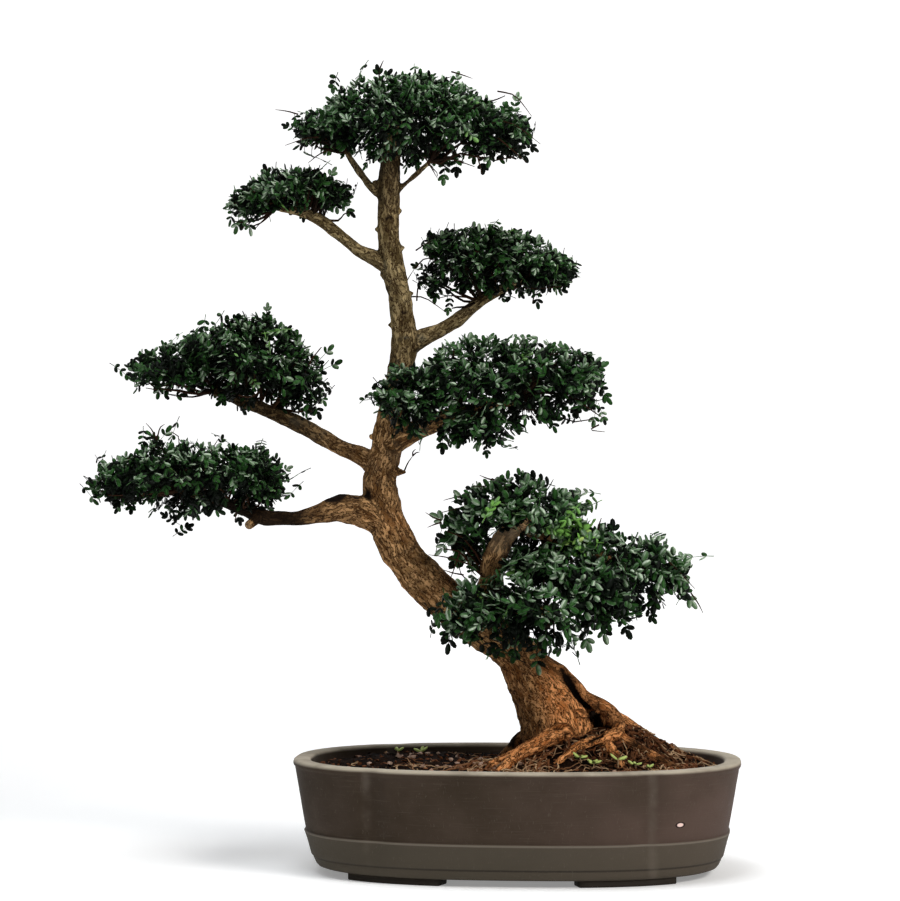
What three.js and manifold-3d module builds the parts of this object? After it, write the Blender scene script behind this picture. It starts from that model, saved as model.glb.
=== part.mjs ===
// Japanese pepper bonsai: a slanting tree with seven leaf pads in a lobed oval pot.
// Millimetres, +Z up. X runs along the pot, the tree leans towards -X and -Y is its front.
import * as THREE from 'three';
import { mergeVertices } from 'three/addons/utils/BufferGeometryUtils.js';
import Module from 'manifold-3d';

const wasm = await Module();
wasm.setup();

// Driving dimensions of the pot
const potLength = 450;
const potWidth = 304;
const potHeight = 113.5;
const footHeight = 6.5;
const floorTop = 14.5;
const rimWall = 17;
const bandTop = 42;
const bandFoot = 18;
const outlinePower = 2.45;
const notchDepth = 4.5;
const notchSpread = 0.075;
const notchReach = 9;
const notchFade = 8;
const potSides = 64;
const notchSide = 10;
const footInset = [27, 47];
const footAngles = [39, 74];
const drainRadius = 13;
const drainPlaces = [-95, 95];
const screenSize = 44;
const screenMesh = 8;
const screenThickness = 1.2;

// Driving dimensions of the planting
const clearance = 0.4;
const soilEdge = 103;
const soilCrown = 105;
const clodHeight = 1.3;
const foliageReach = 445;

// Driving dimensions of the foliage: a leaf is a rib with two pairs of leaflets and an end one
const leafLengths = [38, 76];
const leafSpan = 38;
const leafWidth = 40;
const leafArch = 0.28;
const leafDroop = 0.06;
const leafFold = 0.12;
const leafSwing = 0.5;
const tipScatter = 4;
const ribThickness = 1.6;
const coreInset = 22;
const coreKnobs = 4;
const coreSag = 4;
const leastCore = 0.48;
const rootInset = 33;
const leastRoot = 0.3;
const lowestLeaf = -0.55;
const hiddenShare = 0.95;
const goldenAngle = Math.PI * (3 - Math.sqrt(5));

const finish = {
  stoneware: { color: 0x4a443e, roughness: 0.75, metalness: 0 },
  soil: { color: 0x2e1f16, roughness: 0.95, metalness: 0 },
  bark: { color: 0x7a5436, roughness: 0.85, metalness: 0 },
  leaf: { color: 0x17361f, roughness: 0.4, metalness: 0 },
  screen: { color: 0x1c1c1c, roughness: 0.6, metalness: 0 },
};

// Closed solids and meshes

function toSolid(geometry) {
  const plain = geometry.clone();
  plain.deleteAttribute('normal');
  plain.deleteAttribute('uv');
  const welded = mergeVertices(plain, 1e-3);
  const corners = welded.index.array;
  const triVerts = [];
  for (let i = 0; i < corners.length; i += 3) {
    const [a, b, c] = [corners[i], corners[i + 1], corners[i + 2]];
    if (a !== b && b !== c && c !== a) triVerts.push(a, b, c);
  }
  return new wasm.Manifold(new wasm.Mesh({
    numProp: 3,
    vertProperties: Float32Array.from(welded.attributes.position.array),
    triVerts: Uint32Array.from(triVerts),
  }));
}

function toGeometry(solid) {
  const mesh = solid.getMesh();
  const geometry = new THREE.BufferGeometry();
  geometry.setAttribute('position', new THREE.BufferAttribute(mesh.vertProperties, 3));
  geometry.setIndex(new THREE.BufferAttribute(mesh.triVerts, 1));
  geometry.computeVertexNormals();
  return geometry;
}

function largestBody(solid) {
  return solid.decompose().reduce((big, body) => (body.volume() > big.volume() ? body : big));
}

function fuse(solids) {
  return solids.reduce((sum, solid) => sum.add(solid));
}

function moveVertices(geometry, place) {
  const position = geometry.attributes.position;
  const point = new THREE.Vector3();
  for (let i = 0; i < position.count; i += 1) {
    point.fromBufferAttribute(position, i);
    place(point);
    position.setXYZ(i, point.x, point.y, point.z);
  }
  return geometry;
}

function seededRandom(seed) {
  let state = seed;
  return () => {
    state = (Math.imul(state, 1664525) + 1013904223) >>> 0;
    return state / 4294967296;
  };
}

function part(name, geometry, look) {
  const mesh = new THREE.Mesh(geometry, new THREE.MeshStandardMaterial(look));
  mesh.name = name;
  return mesh;
}

// Pot outline: a superellipse set in from the rim, with four upright notches between its lobes

const outerRadius = potLength / 2;
const ringInset = 60;

function outlinePoint(angle, inset) {
  const soften = (value) => Math.sign(value) * Math.abs(value) ** (2 / outlinePower);
  const edge = Math.min(inset, ringInset);
  const share = (outerRadius - inset) / (outerRadius - edge);
  const notchAngle = (notchSide * 2 * Math.PI) / potSides;
  const fold = Math.abs(Math.abs(Math.atan2(Math.sin(angle), Math.abs(Math.cos(angle)))) - notchAngle);
  const fade = Math.max(0, 1 - Math.max(0, inset - notchReach) / notchFade);
  const notch = notchDepth * fade * Math.exp(-((fold / notchSpread) ** 2));
  const halfLength = potLength / 2 - edge - notch;
  const halfWidth = potWidth / 2 - edge - notch;
  return new THREE.Vector2(
    halfLength * soften(Math.cos(angle)) * share,
    halfWidth * soften(Math.sin(angle)) * share,
  );
}

// A profile of [inset, height] points turned about Z and laid on the pot outline
function lobedLathe(profile, sides, liftPoint = (x, y, z) => z) {
  const points = profile.map(([inset, z]) => new THREE.Vector2(outerRadius - inset, z));
  const geometry = new THREE.LatheGeometry(points, sides);
  return moveVertices(geometry, (p) => {
    const angle = Math.atan2(p.x, p.z);
    const flat = outlinePoint(angle, outerRadius - Math.hypot(p.x, p.z));
    p.set(flat.x, flat.y, liftPoint(flat.x, flat.y, p.y));
  });
}

const innerWallFoot = [30, 20];
const innerFloorEdge = [37, floorTop];

function innerInset(z) {
  const slope = (innerWallFoot[0] - rimWall) / (potHeight - 2 - innerWallFoot[1]);
  return rimWall + (potHeight - 2 - z) * slope;
}

function potFoot(turnX, turnY) {
  const shape = new THREE.Shape();
  const steps = 4;
  const [from, to] = footAngles.map((degrees) => (degrees * Math.PI) / 180);
  const corners = [];
  const angleAt = (i) => from + ((to - from) * i) / steps;
  for (let i = 0; i <= steps; i += 1) corners.push(outlinePoint(angleAt(i), footInset[0]));
  for (let i = steps; i >= 0; i -= 1) corners.push(outlinePoint(angleAt(i), footInset[1]));
  corners.forEach((corner) => corner.set(corner.x * turnX, corner.y * turnY));
  shape.setFromPoints(corners);
  return toSolid(new THREE.ExtrudeGeometry(shape, { depth: footHeight + 2, bevelEnabled: false }));
}

function drainCutter(x) {
  const bore = new THREE.CylinderGeometry(drainRadius, drainRadius, 40, 16);
  bore.rotateX(Math.PI / 2);
  bore.translate(x, 0, floorTop - 5);
  return toSolid(bore);
}

function potSolid() {
  const profile = [
    [outerRadius, footHeight],
    [25, footHeight],
    [19.6, bandFoot - 1.5],
    [17.8, bandFoot],
    [11, bandTop],
    [12.7, bandTop + 1.5],
    [1.8, potHeight - 7],
    [0, potHeight - 5],
    [1.2, potHeight],
    [rimWall - 1.2, potHeight],
    [rimWall, potHeight - 2],
    innerWallFoot,
    innerFloorEdge,
    [outerRadius, floorTop],
  ];
  let pot = toSolid(lobedLathe(profile, potSides));
  for (const turnX of [-1, 1]) {
    for (const turnY of [-1, 1]) pot = pot.add(potFoot(turnX, turnY));
  }
  for (const x of drainPlaces) pot = pot.subtract(drainCutter(x));
  return pot;
}

// Drain screens: square plastic mesh over each drain hole

function box(width, depth, height, x, y, z) {
  return toSolid(new THREE.BoxGeometry(width, depth, height).translate(x, y, z));
}

function screenSolid(x) {
  const z = floorTop + 0.3 + screenThickness / 2;
  const pitch = 6;
  let plate = box(screenSize, screenSize, screenThickness, x, 0, z);
  for (const u of [-pitch, pitch]) {
    for (const v of [-pitch, pitch]) plate = plate.subtract(box(screenMesh, screenMesh, 4, x + u, v, z));
  }
  return plate;
}

// Wood: every limb is a list of [x, y, z, radius] places along its middle

const trunkPath = [
  [44, 8, 62, 34], [44, 8, 92, 35], [42, 8, 124, 34], [39.5, 8, 150, 36], [29, 8, 171, 31.5],
  [14, 6, 194, 26.5], [-4, 4, 220, 21], [-37, 2, 245, 21], [-73, 0, 273, 20.5], [-111, 0, 310, 19],
  [-129, 2, 342, 18.5], [-138, 4, 373, 17.5], [-139, 4, 397, 16.5], [-132, 3, 427, 15],
  [-124, 0, 464, 15], [-117, -3, 506, 13.5], [-114, -5, 536, 12.5], [-119, -7, 576, 11],
  [-125, -8, 610, 11], [-129, -9, 640, 10.5], [-129, -10, 676, 11], [-127, -12, 713, 10.5],
  [-124, -12, 740, 8], [-120, -12, 766, 5],
];

const branchPaths = [
  // low left bough
  [[-130, 2, 345, 14], [-150, -2, 358, 16], [-167, -4, 363, 15], [-184, -8, 363, 12.5],
    [-214, -14, 355, 8], [-235, -16, 354, 7.3], [-257, -18, 356, 8.3], [-276, -18, 363, 6.5],
    [-305, -18, 373, 5], [-340, -16, 383, 4]],
  // middle left bough
  [[-130, 4, 398, 13], [-157, 8, 416, 9.6], [-178, 12, 424, 8.3], [-202, 16, 437, 8], [-226, 20, 450, 8],
    [-254, 22, 462, 7], [-280, 24, 472, 6], [-312, 26, 483, 4.5]],
  // upper left bough
  [[-122, -8, 603, 9], [-142, -9, 616, 7.5], [-160, -11, 625, 5.9], [-181, -13, 642, 5.9],
    [-198, -14, 655, 6], [-214, -15, 662, 5], [-240, -16, 668, 3.5]],
  // upper right bough
  [[-120, -3, 520, 11], [-99, 2, 535, 9], [-79, 8, 544, 7], [-58, 14, 558, 7], [-40, 19, 573, 6],
    [-18, 22, 586, 5], [8, 24, 596, 3.5]],
  // middle right bough
  [[-128, 0, 430, 13], [-97, -14, 444, 10], [-66, -20, 456, 8.6], [-31, -22, 466, 6.6], [4, -22, 475, 4.5]],
  // low right bough, a thick stump that rises through the leaves
  [[-46, 0, 250, 16], [-26, -28, 283, 13], [-20, -42, 313, 11], [-10, -46, 336, 10], [3, -44, 346, 9],
    [25, -38, 343, 8], [60, -30, 328, 6.5], [95, -24, 313, 4.5]],
  // low right front bough
  [[-36, -10, 262, 12], [-15, -46, 268, 9], [12, -66, 264, 7], [38, -72, 266, 4.5]],
  // crown twigs
  [[-128, -9, 676, 6], [-142, -12, 684, 4.2], [-152, -14, 695, 3.4], [-162, -16, 709, 3.2],
    [-172, -18, 724, 2.4]],
  [[-126, -9, 680, 4], [-113, -14, 690, 2.8], [-100, -20, 700, 2.5], [-86, -25, 712, 2.2]],
  // sawn stub under the low left bough
  [[-256, -18, 358, 6], [-264, -30, 351, 5], [-268, -37, 347, 4.6]],
];

const rootPaths = [
  // right root, standing clear of the foot down to its knee
  [[24, 2, 208, 10], [40, 0, 200, 8.5], [57, -4, 187, 7], [79, -8, 169, 7.5], [99, -13, 154, 7.5],
    [104, -18, 145, 7]],
  // cross root, from the knee back over the front of the foot
  [[103, -14, 149, 7], [89, -36, 137.5, 5.5], [64, -54, 130, 4.6], [42, -72, 112, 3.6]],
  // buttress behind the right root
  [[22, 14, 200, 16], [48, 20, 174, 17], [74, 22, 149, 16], [104, 24, 130, 12], [134, 28, 116, 8]],
  // ridge root, from the knee over the heap to the right
  [[88, 6, 156, 10], [128, 8, 134, 7], [150, 8, 123, 5.5], [190, 8, 104, 3.5]],
  // front root
  [[48, -18, 138, 12], [32, -48, 139, 7], [5.5, -68, 126, 5], [-14, -92, 107, 3]],
  // left back root
  [[30, 14, 134, 16], [-1, 26, 131, 10.5], [-32, 46, 108, 6]],
  // left front root
  [[26, -22, 126, 10], [-24, -60, 111, 3.8]],
  // right back root
  [[100, 28, 134, 9], [150, 58, 106, 4]],
  // right front roots
  [[96, -18, 138, 9], [122, -32, 127, 6], [168, -54, 104, 3.5]],
  [[86, -22, 132, 9], [110, -68, 107, 4]],
];

function pathPlaces(path, steps) {
  const curve = new THREE.CatmullRomCurve3(path.map(([x, y, z]) => new THREE.Vector3(x, y, z)));
  const places = [];
  let side = new THREE.Vector3(0, -1, 0);
  for (let i = 0; i <= steps; i += 1) {
    const t = i / steps;
    const along = curve.getTangent(t);
    side = side.clone().addScaledVector(along, -side.dot(along)).normalize();
    const spot = t * (path.length - 1);
    const before = Math.min(Math.floor(spot), path.length - 2);
    const radius = THREE.MathUtils.lerp(path[before][3], path[before + 1][3], spot - before);
    places.push({ middle: curve.getPoint(t), side, across: side.clone().cross(along), along, radius });
  }
  return places;
}

// A round bar laid along a path, with ridges round it and 'grow' added to its radius
function limb(path, sides, stepsPerSpan, ridge, grow) {
  const steps = (path.length - 1) * stepsPerSpan;
  const places = pathPlaces(path, steps);
  const bar = new THREE.CylinderGeometry(1, 1, steps, sides, steps);
  return toSolid(moveVertices(bar, (p) => {
    const step = Math.round(p.y + steps / 2);
    const { middle, side, across, along, radius } = places[step];
    const angle = Math.atan2(p.z, p.x);
    const wave = Math.sin(4 * angle + 0.55 * step) + 0.7 * Math.sin(3 * angle - 0.8 * step + 1);
    const reach = Math.hypot(p.x, p.z) * (radius * (1 + ridge * wave) + grow);
    const end = step === 0 ? -grow : grow * (step === steps);
    p.copy(middle)
      .addScaledVector(side, reach * Math.cos(angle))
      .addScaledVector(across, reach * Math.sin(angle))
      .addScaledVector(along, end);
  }));
}

// Thorn bases, sunk into the trunk: [span along its path, angle round it in degrees, length]
const thornRadius = 3.4;
const thornSunk = 5;
const thornPlaces = [
  [20.4, 200, 6], [19.6, 20, 6], [19.1, 190, 5], [18.5, 350, 5.5], [17.6, 170, 6], [17.1, 30, 5],
  [16.3, 185, 5], [15.6, 340, 5], [14.7, 160, 5.5], [14.2, 20, 6], [13.2, 200, 5], [11.6, 15, 5],
];

function thorn([span, degrees, length], grow) {
  const steps = 200;
  const places = pathPlaces(trunkPath, steps);
  const place = places[Math.round((span / (trunkPath.length - 1)) * steps)];
  const angle = (degrees * Math.PI) / 180;
  const out = new THREE.Vector3(Math.cos(angle), Math.sin(angle), 0.25).normalize();
  const cone = new THREE.ConeGeometry(thornRadius + grow, length + thornSunk + 2 * grow, 5);
  cone.translate(0, (length + thornSunk) / 2, 0);
  cone.applyQuaternion(new THREE.Quaternion().setFromUnitVectors(new THREE.Vector3(0, 1, 0), out));
  const foot = place.middle.clone().addScaledVector(out, place.radius - thornSunk);
  return toSolid(cone.translate(foot.x, foot.y, foot.z));
}

function woodSolid(grow) {
  const trunk = limb(trunkPath, 12, 2, 0.05, grow);
  const boughs = branchPaths.map((path) => limb(path, 7, 1, 0.03, grow));
  const roots = rootPaths.map((path) => limb(path, 5, 1, 0.08, grow));
  const thorns = thornPlaces.map((place) => thorn(place, grow));
  return fuse([trunk, ...boughs, ...roots, ...thorns]);
}

// Soil: fills the pot, heaped round the foot of the tree and to its right

const heaps = [
  [96, 0, 20, 60, 50],
  [118, 2, 20, 46, 40],
  [40, -40, 14, 50, 40],
  [20, 0, 8, 70, 70],
  [-120, 30, 4, 60, 60],
];

function soilLift(x, y, z) {
  if (z < soilEdge - 1) return z;
  const heap = heaps.reduce((sum, [hx, hy, height, spreadX, spreadY]) => (
    sum + height * Math.exp(-(((x - hx) / spreadX) ** 2) - ((y - hy) / spreadY) ** 2)), 0);
  const clods = clodHeight * Math.sin(x / 13 + y / 21) * Math.cos(y / 15 - x / 29);
  const middle = Math.min(1, Math.max(0, (z - soilEdge) / (soilCrown - soilEdge)));
  return z + (heap + clods) * middle;
}

function soilSolid(fatWood) {
  const gap = clearance;
  const profile = [
    [outerRadius, floorTop + gap],
    [innerFloorEdge[0] + 1, floorTop + gap],
    [innerInset(26) + gap + 1, 26],
    [innerInset(soilEdge) + gap, soilEdge],
    ...[34, 62, 100, 150].map((inset) => [inset, soilCrown]),
    [outerRadius, soilCrown],
  ];
  let soil = toSolid(lobedLathe(profile, potSides / 2, soilLift));
  for (const x of drainPlaces) {
    const side = screenSize + 2 * clearance;
    soil = soil.subtract(box(side, side, 2 * (screenThickness + 1), x, 0, floorTop));
  }
  return largestBody(soil.subtract(fatWood));
}

// Leaf pads: [x, y, z, half length, half depth, half height] of the rounded lobes of each head

const pads = {
  leaves_crown: [
    { lobes: [[-112, -12, 753, 94, 70, 52], [-97, -10, 782, 58, 50, 33], [-186, -14, 746, 52, 48, 28],
      [-30, -8, 748, 48, 50, 36]], leaves: 25 },
  ],
  leaves_upper_left: [
    { lobes: [[-232, -16, 680, 48, 46, 28], [-266, -16, 667, 30, 34, 22], [-188, -14, 673, 26, 32, 22]],
      leaves: 12 },
  ],
  leaves_upper_right: [
    { lobes: [[-28, 20, 614, 74, 56, 39], [28, 24, 614, 36, 42, 28], [-82, 12, 588, 28, 34, 28]],
      leaves: 15 },
  ],
  leaves_mid_left: [
    { lobes: [[-268, 22, 512, 74, 62, 49], [-265, 20, 541, 42, 40, 30], [-352, 24, 504, 50, 46, 27],
      [-224, 18, 495, 32, 44, 43]], leaves: 19 },
  ],
  leaves_mid_right: [
    { lobes: [[-16, -18, 488, 82, 62, 55], [54, -14, 497, 42, 50, 42], [-36, -24, 450, 52, 46, 32]],
      leaves: 17 },
    { lobes: [[-96, -46, 468, 40, 30, 37]], leaves: 6 },
    { lobes: [[-72, -38, 472, 48, 32, 34]], leaves: 0 },
  ],
  leaves_low_left: [
    { lobes: [[-330, -16, 393, 82, 60, 45], [-414, -14, 388, 38, 42, 27], [-264, -18, 392, 38, 46, 38]],
      leaves: 19 },
  ],
  leaves_low_right: [
    { lobes: [[-1, -32, 360, 74, 56, 48], [-40, -2, 336, 38, 36, 44]], leaves: 9 },
    { lobes: [[104, -26, 305, 74, 58, 50]], leaves: 11 },
    { lobes: [[-4, -72, 262, 80, 42, 46], [70, -62, 282, 62, 44, 42]], leaves: 11 },
    { lobes: [[24, -44, 322, 62, 46, 64], [66, -40, 306, 60, 40, 46]], leaves: 0 },
  ],
};

// Distance from a point along a direction to the far side of a lobe, 0 where it is missed
function lobeReach([x, y, z, a, b, c], from, toward) {
  const start = new THREE.Vector3((from.x - x) / a, (from.y - y) / b, (from.z - z) / c);
  const step = new THREE.Vector3(toward.x / a, toward.y / b, toward.z / c);
  const half = start.dot(step);
  const root = half ** 2 - step.lengthSq() * (start.lengthSq() - 1);
  return root < 0 ? 0 : Math.max(0, (-half + Math.sqrt(root)) / step.lengthSq());
}

// The place set in from the head's surface along a direction from its middle, and the way out there
function headPlace(head, toward, inset, least = leastCore) {
  const [x, y, z] = head.lobes[0];
  const middle = new THREE.Vector3(x, y, z);
  const reaches = head.lobes.map((lobe) => lobeReach(lobe, middle, toward));
  const reach = Math.max(...reaches);
  const [lx, ly, lz, a, b, c] = head.lobes[reaches.indexOf(reach)];
  const edge = middle.clone().addScaledVector(toward, reach);
  const out = new THREE.Vector3((edge.x - lx) / a ** 2, (edge.y - ly) / b ** 2, (edge.z - lz) / c ** 2);
  const point = middle.addScaledVector(toward, Math.max(reach - inset, reach * least));
  return { point, out: out.normalize(), reach };
}

// Turns an even direction on a ball into one that is even over a long, low head
function spreadOver(head, direction) {
  const [x, y, z] = head.lobes[0];
  const reach = (at, middle) => Math.max(...head.lobes.map((lobe) => (
    Math.abs(lobe[at] - middle) + lobe[at + 3])));
  return direction.clone().multiply(new THREE.Vector3(reach(0, x), reach(1, y), reach(2, z))).normalize();
}

// A knobbly core that fills the inside of a head, hanging a little low in it
function headCore(head) {
  const ball = new THREE.IcosahedronGeometry(1, 1);
  return toSolid(moveVertices(ball, (p) => {
    const inset = coreInset + coreKnobs * Math.sin(13 * p.x + 29 * p.y + 37 * p.z);
    p.copy(headPlace(head, spreadOver(head, p), inset).point);
    p.z -= coreSag;
  }));
}

// One leaf, root at the origin, rib along +X, face up. Its margin runs out round each leaflet and back
// in to the rib, where it is thickest: [place along, half width, place of the rib it is ribbed to]
const leafStations = [
  [0, 0, 0], [0.26, 0.07, 0.26], [0.43, 0.52, 0.38], [0.5, 0.1, 0.5], [0.7, 0.48, 0.62], [0.74, 0.1, 0.74],
  [0.86, 0.24, 0.86], [1, 0, 1],
];

function leafGeometry(length, width) {
  const spans = leafStations.length - 1;
  const blade = new THREE.BoxGeometry(spans, 2, 2, spans, 2, 1);
  return moveVertices(blade, (p) => {
    const step = Math.round(p.x + spans / 2);
    const [margin, half, rib] = leafStations[step];
    const onRib = p.y === 0 && step > 0 && step < spans;
    const along = onRib ? rib : margin;
    const arch = leafArch * along * (1 - along) - leafDroop * along ** 2;
    const lift = onRib ? (p.z * ribThickness) / 2 : -leafFold * half * width;
    p.set(along * length, p.y * half * width, arch * length + lift);
  });
}

// A leaf's tip lies on the head's surface and its root inside the core, further up the head
function placedLeaf(head, even, random) {
  const tip = headPlace(head, spreadOver(head, even), tipScatter * (random() - 0.5));
  const uphill = even.clone().cross(new THREE.Vector3(0, 0, 1)).normalize();
  const inner = even.clone().applyAxisAngle(uphill, leafSpan / tip.reach);
  inner.applyAxisAngle(new THREE.Vector3(0, 0, 1), (random() - 0.5) * leafSwing);
  const rib = tip.point.clone().sub(headPlace(head, spreadOver(head, inner), rootInset, leastRoot).point);
  const length = THREE.MathUtils.clamp(rib.length(), ...leafLengths);
  rib.normalize();
  const across = tip.out.cross(rib).normalize().applyAxisAngle(rib, (random() - 0.5) * leafSwing);
  const face = rib.clone().cross(across);
  const leaf = leafGeometry(length, leafWidth * (0.9 + 0.2 * random()));
  const root = tip.point.addScaledVector(rib, -length);
  leaf.applyMatrix4(new THREE.Matrix4().makeBasis(rib, across, face).setPosition(root));
  return toSolid(leaf);
}

function insideLobe(point, [x, y, z, a, b, c], share) {
  return Math.hypot((point.x - x) / a, (point.y - y) / b, (point.z - z) / c) < share;
}

// Leaves stand out of a head in even steps of a Fibonacci spiral, down to well below its waist,
// but not where a neighbouring head hides them
function headSolid(head, neighbours, random) {
  const leaves = [];
  for (let i = 0; i < head.leaves; i += 1) {
    const z = 1 - ((1 - lowestLeaf) * (i + 0.5)) / head.leaves;
    const ring = Math.sqrt(1 - z * z);
    const angle = i * goldenAngle + 0.3 * random();
    const even = new THREE.Vector3(ring * Math.cos(angle), ring * Math.sin(angle), z);
    const tip = headPlace(head, spreadOver(head, even), 0).point;
    if (neighbours.some((lobe) => insideLobe(tip, lobe, hiddenShare))) continue;
    leaves.push(placedLeaf(head, even, random));
  }
  return fuse([headCore(head), ...leaves]);
}

function padSolid(heads, seed, fatWood) {
  const random = seededRandom(seed);
  const solid = fuse(heads.map((head) => {
    const others = heads.filter((other) => other !== head && other.leaves);
    return headSolid(head, others.flatMap((other) => other.lobes), random);
  }));
  return largestBody(solid.subtract(fatWood));
}

// The whole: the pot's centre stands to the right, under the middle of tree and pot together

const bonsai = new THREE.Group();
bonsai.position.x = (foliageReach - potLength / 2) / 2;
const wood = woodSolid(0);
const fatWood = woodSolid(clearance);
bonsai.add(part('pot', toGeometry(potSolid()), finish.stoneware));
drainPlaces.forEach((x, i) => {
  bonsai.add(part(`drain_screen_${i + 1}`, toGeometry(screenSolid(x)), finish.screen));
});
bonsai.add(part('soil', toGeometry(soilSolid(fatWood)), finish.soil));
bonsai.add(part('tree_wood', toGeometry(largestBody(wood)), finish.bark));
Object.entries(pads).forEach(([name, heads], i) => {
  bonsai.add(part(name, toGeometry(padSolid(heads, 11 + i, fatWood)), finish.leaf));
});

export default bonsai;
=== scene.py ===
# Japanese pepper bonsai in a lobed oval pot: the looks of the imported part, in metres and in its frame.
# X runs along the pot with the tree leaning towards -X, -Y is the front and Z is up.
import itertools
import math

import bpy
import numpy as np
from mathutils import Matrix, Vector


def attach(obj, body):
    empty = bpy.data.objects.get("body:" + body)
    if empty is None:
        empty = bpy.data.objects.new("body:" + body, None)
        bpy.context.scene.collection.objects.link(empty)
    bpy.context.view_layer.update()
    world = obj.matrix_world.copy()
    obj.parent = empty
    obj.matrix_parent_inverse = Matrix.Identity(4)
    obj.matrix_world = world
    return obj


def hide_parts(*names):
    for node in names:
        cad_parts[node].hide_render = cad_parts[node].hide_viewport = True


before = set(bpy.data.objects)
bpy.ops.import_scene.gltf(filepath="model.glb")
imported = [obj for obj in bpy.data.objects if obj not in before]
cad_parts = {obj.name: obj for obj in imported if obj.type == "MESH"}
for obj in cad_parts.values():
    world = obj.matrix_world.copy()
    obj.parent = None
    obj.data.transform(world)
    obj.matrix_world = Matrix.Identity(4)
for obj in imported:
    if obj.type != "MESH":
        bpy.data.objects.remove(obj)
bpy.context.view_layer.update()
print("frame loaded")

potCentre = np.array([0.110, 0.0, 0.0])
millimetre = 0.001


# Shape helpers

def easedNoise(places, cell, seed):
    # value noise, -1 to 1: random numbers on a cubic lattice of this cell size, eased between its corners
    scaled = places / cell
    base = np.floor(scaled).astype(np.int64)
    share = scaled - base
    share = share * share * (3 - 2 * share)
    total = np.zeros(len(places))
    for corner in itertools.product((0, 1), repeat=3):
        x, y, z = (base + corner).T
        # large primes scramble the corner and the seed into 16 random bits
        mixed = (x * 73856093) ^ (y * 19349663) ^ (z * 83492791) ^ (seed * 26544357)
        mixed = ((mixed ^ (mixed >> 13)) * 1274126177) & 0xffffffff
        value = ((mixed ^ (mixed >> 16)) & 0xffff) / 65535
        total += value * np.prod(np.where(corner, share, 1 - share), axis=1)
    return total * 2 - 1


def layeredNoise(places, cell, seed, layers=3):
    # a sum of eased noises, each with half the cell and half the height of the one before
    return sum(easedNoise(places, cell / 2 ** k, seed + k) / 2 ** k for k in range(layers))


def easeBetween(values, low, high):
    # 0 below low, 1 above high, and a smooth S between them
    share = np.clip((values - low) / (high - low), 0, 1)
    return share * share * (3 - 2 * share)


def curveThrough(path, count):
    # Catmull-Rom: in each span the cubic that passes its two rows with the slopes of their neighbours
    rows = np.asarray(path, float)
    rows = np.vstack([2 * rows[0] - rows[1], rows, 2 * rows[-1] - rows[-2]])
    spot = np.linspace(0, len(path) - 1, count)
    start = np.minimum(spot.astype(int), len(path) - 2)
    share = (spot - start)[:, None]
    a, b, c, d = rows[start], rows[start + 1], rows[start + 2], rows[start + 3]
    cubic = (2 * a - 5 * b + 4 * c - d) * share ** 2 + (3 * b - a - 3 * c + d) * share ** 3
    return 0.5 * (2 * b + (c - a) * share + cubic)


def unit(vectors):
    # each vector divided by its own length
    return vectors / np.maximum(np.linalg.norm(vectors, axis=-1, keepdims=True), 1e-9)


def pathFrame(middles):
    # along is the path's slope; side and across are square to it, measured from the axis it leans to least
    along = unit(np.gradient(middles, axis=0))
    axis = np.eye(3)[np.argmin(np.abs(along).max(axis=0))]
    side = unit(axis - along * (along @ axis)[:, None])
    return along, side, np.cross(along, side)


def ringAngles(count):
    # evenly spaced angles once round
    return np.linspace(0, 2 * math.pi, count, endpoint=False)


def gridQuads(rows, columns):
    # quads between the rows of a grid whose columns close into a ring
    down = np.arange(rows - 1)[:, None] * columns
    here = np.arange(columns)[None, :]
    after = (here + 1) % columns
    quads = np.stack([down + here, down + after, down + columns + after, down + columns + here], axis=-1)
    return quads.reshape(-1, 4)


def capFans(rows, columns):
    # triangles that close a ring grid: the first ring to the point after the grid, the last to the next one
    here = np.arange(columns)
    after = (here + 1) % columns
    first = np.full(columns, rows * columns)
    last = (rows - 1) * columns
    top = np.stack([after, here, first], axis=-1)
    bottom = np.stack([last + here, last + after, first + 1], axis=-1)
    return np.vstack([top, bottom])


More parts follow.
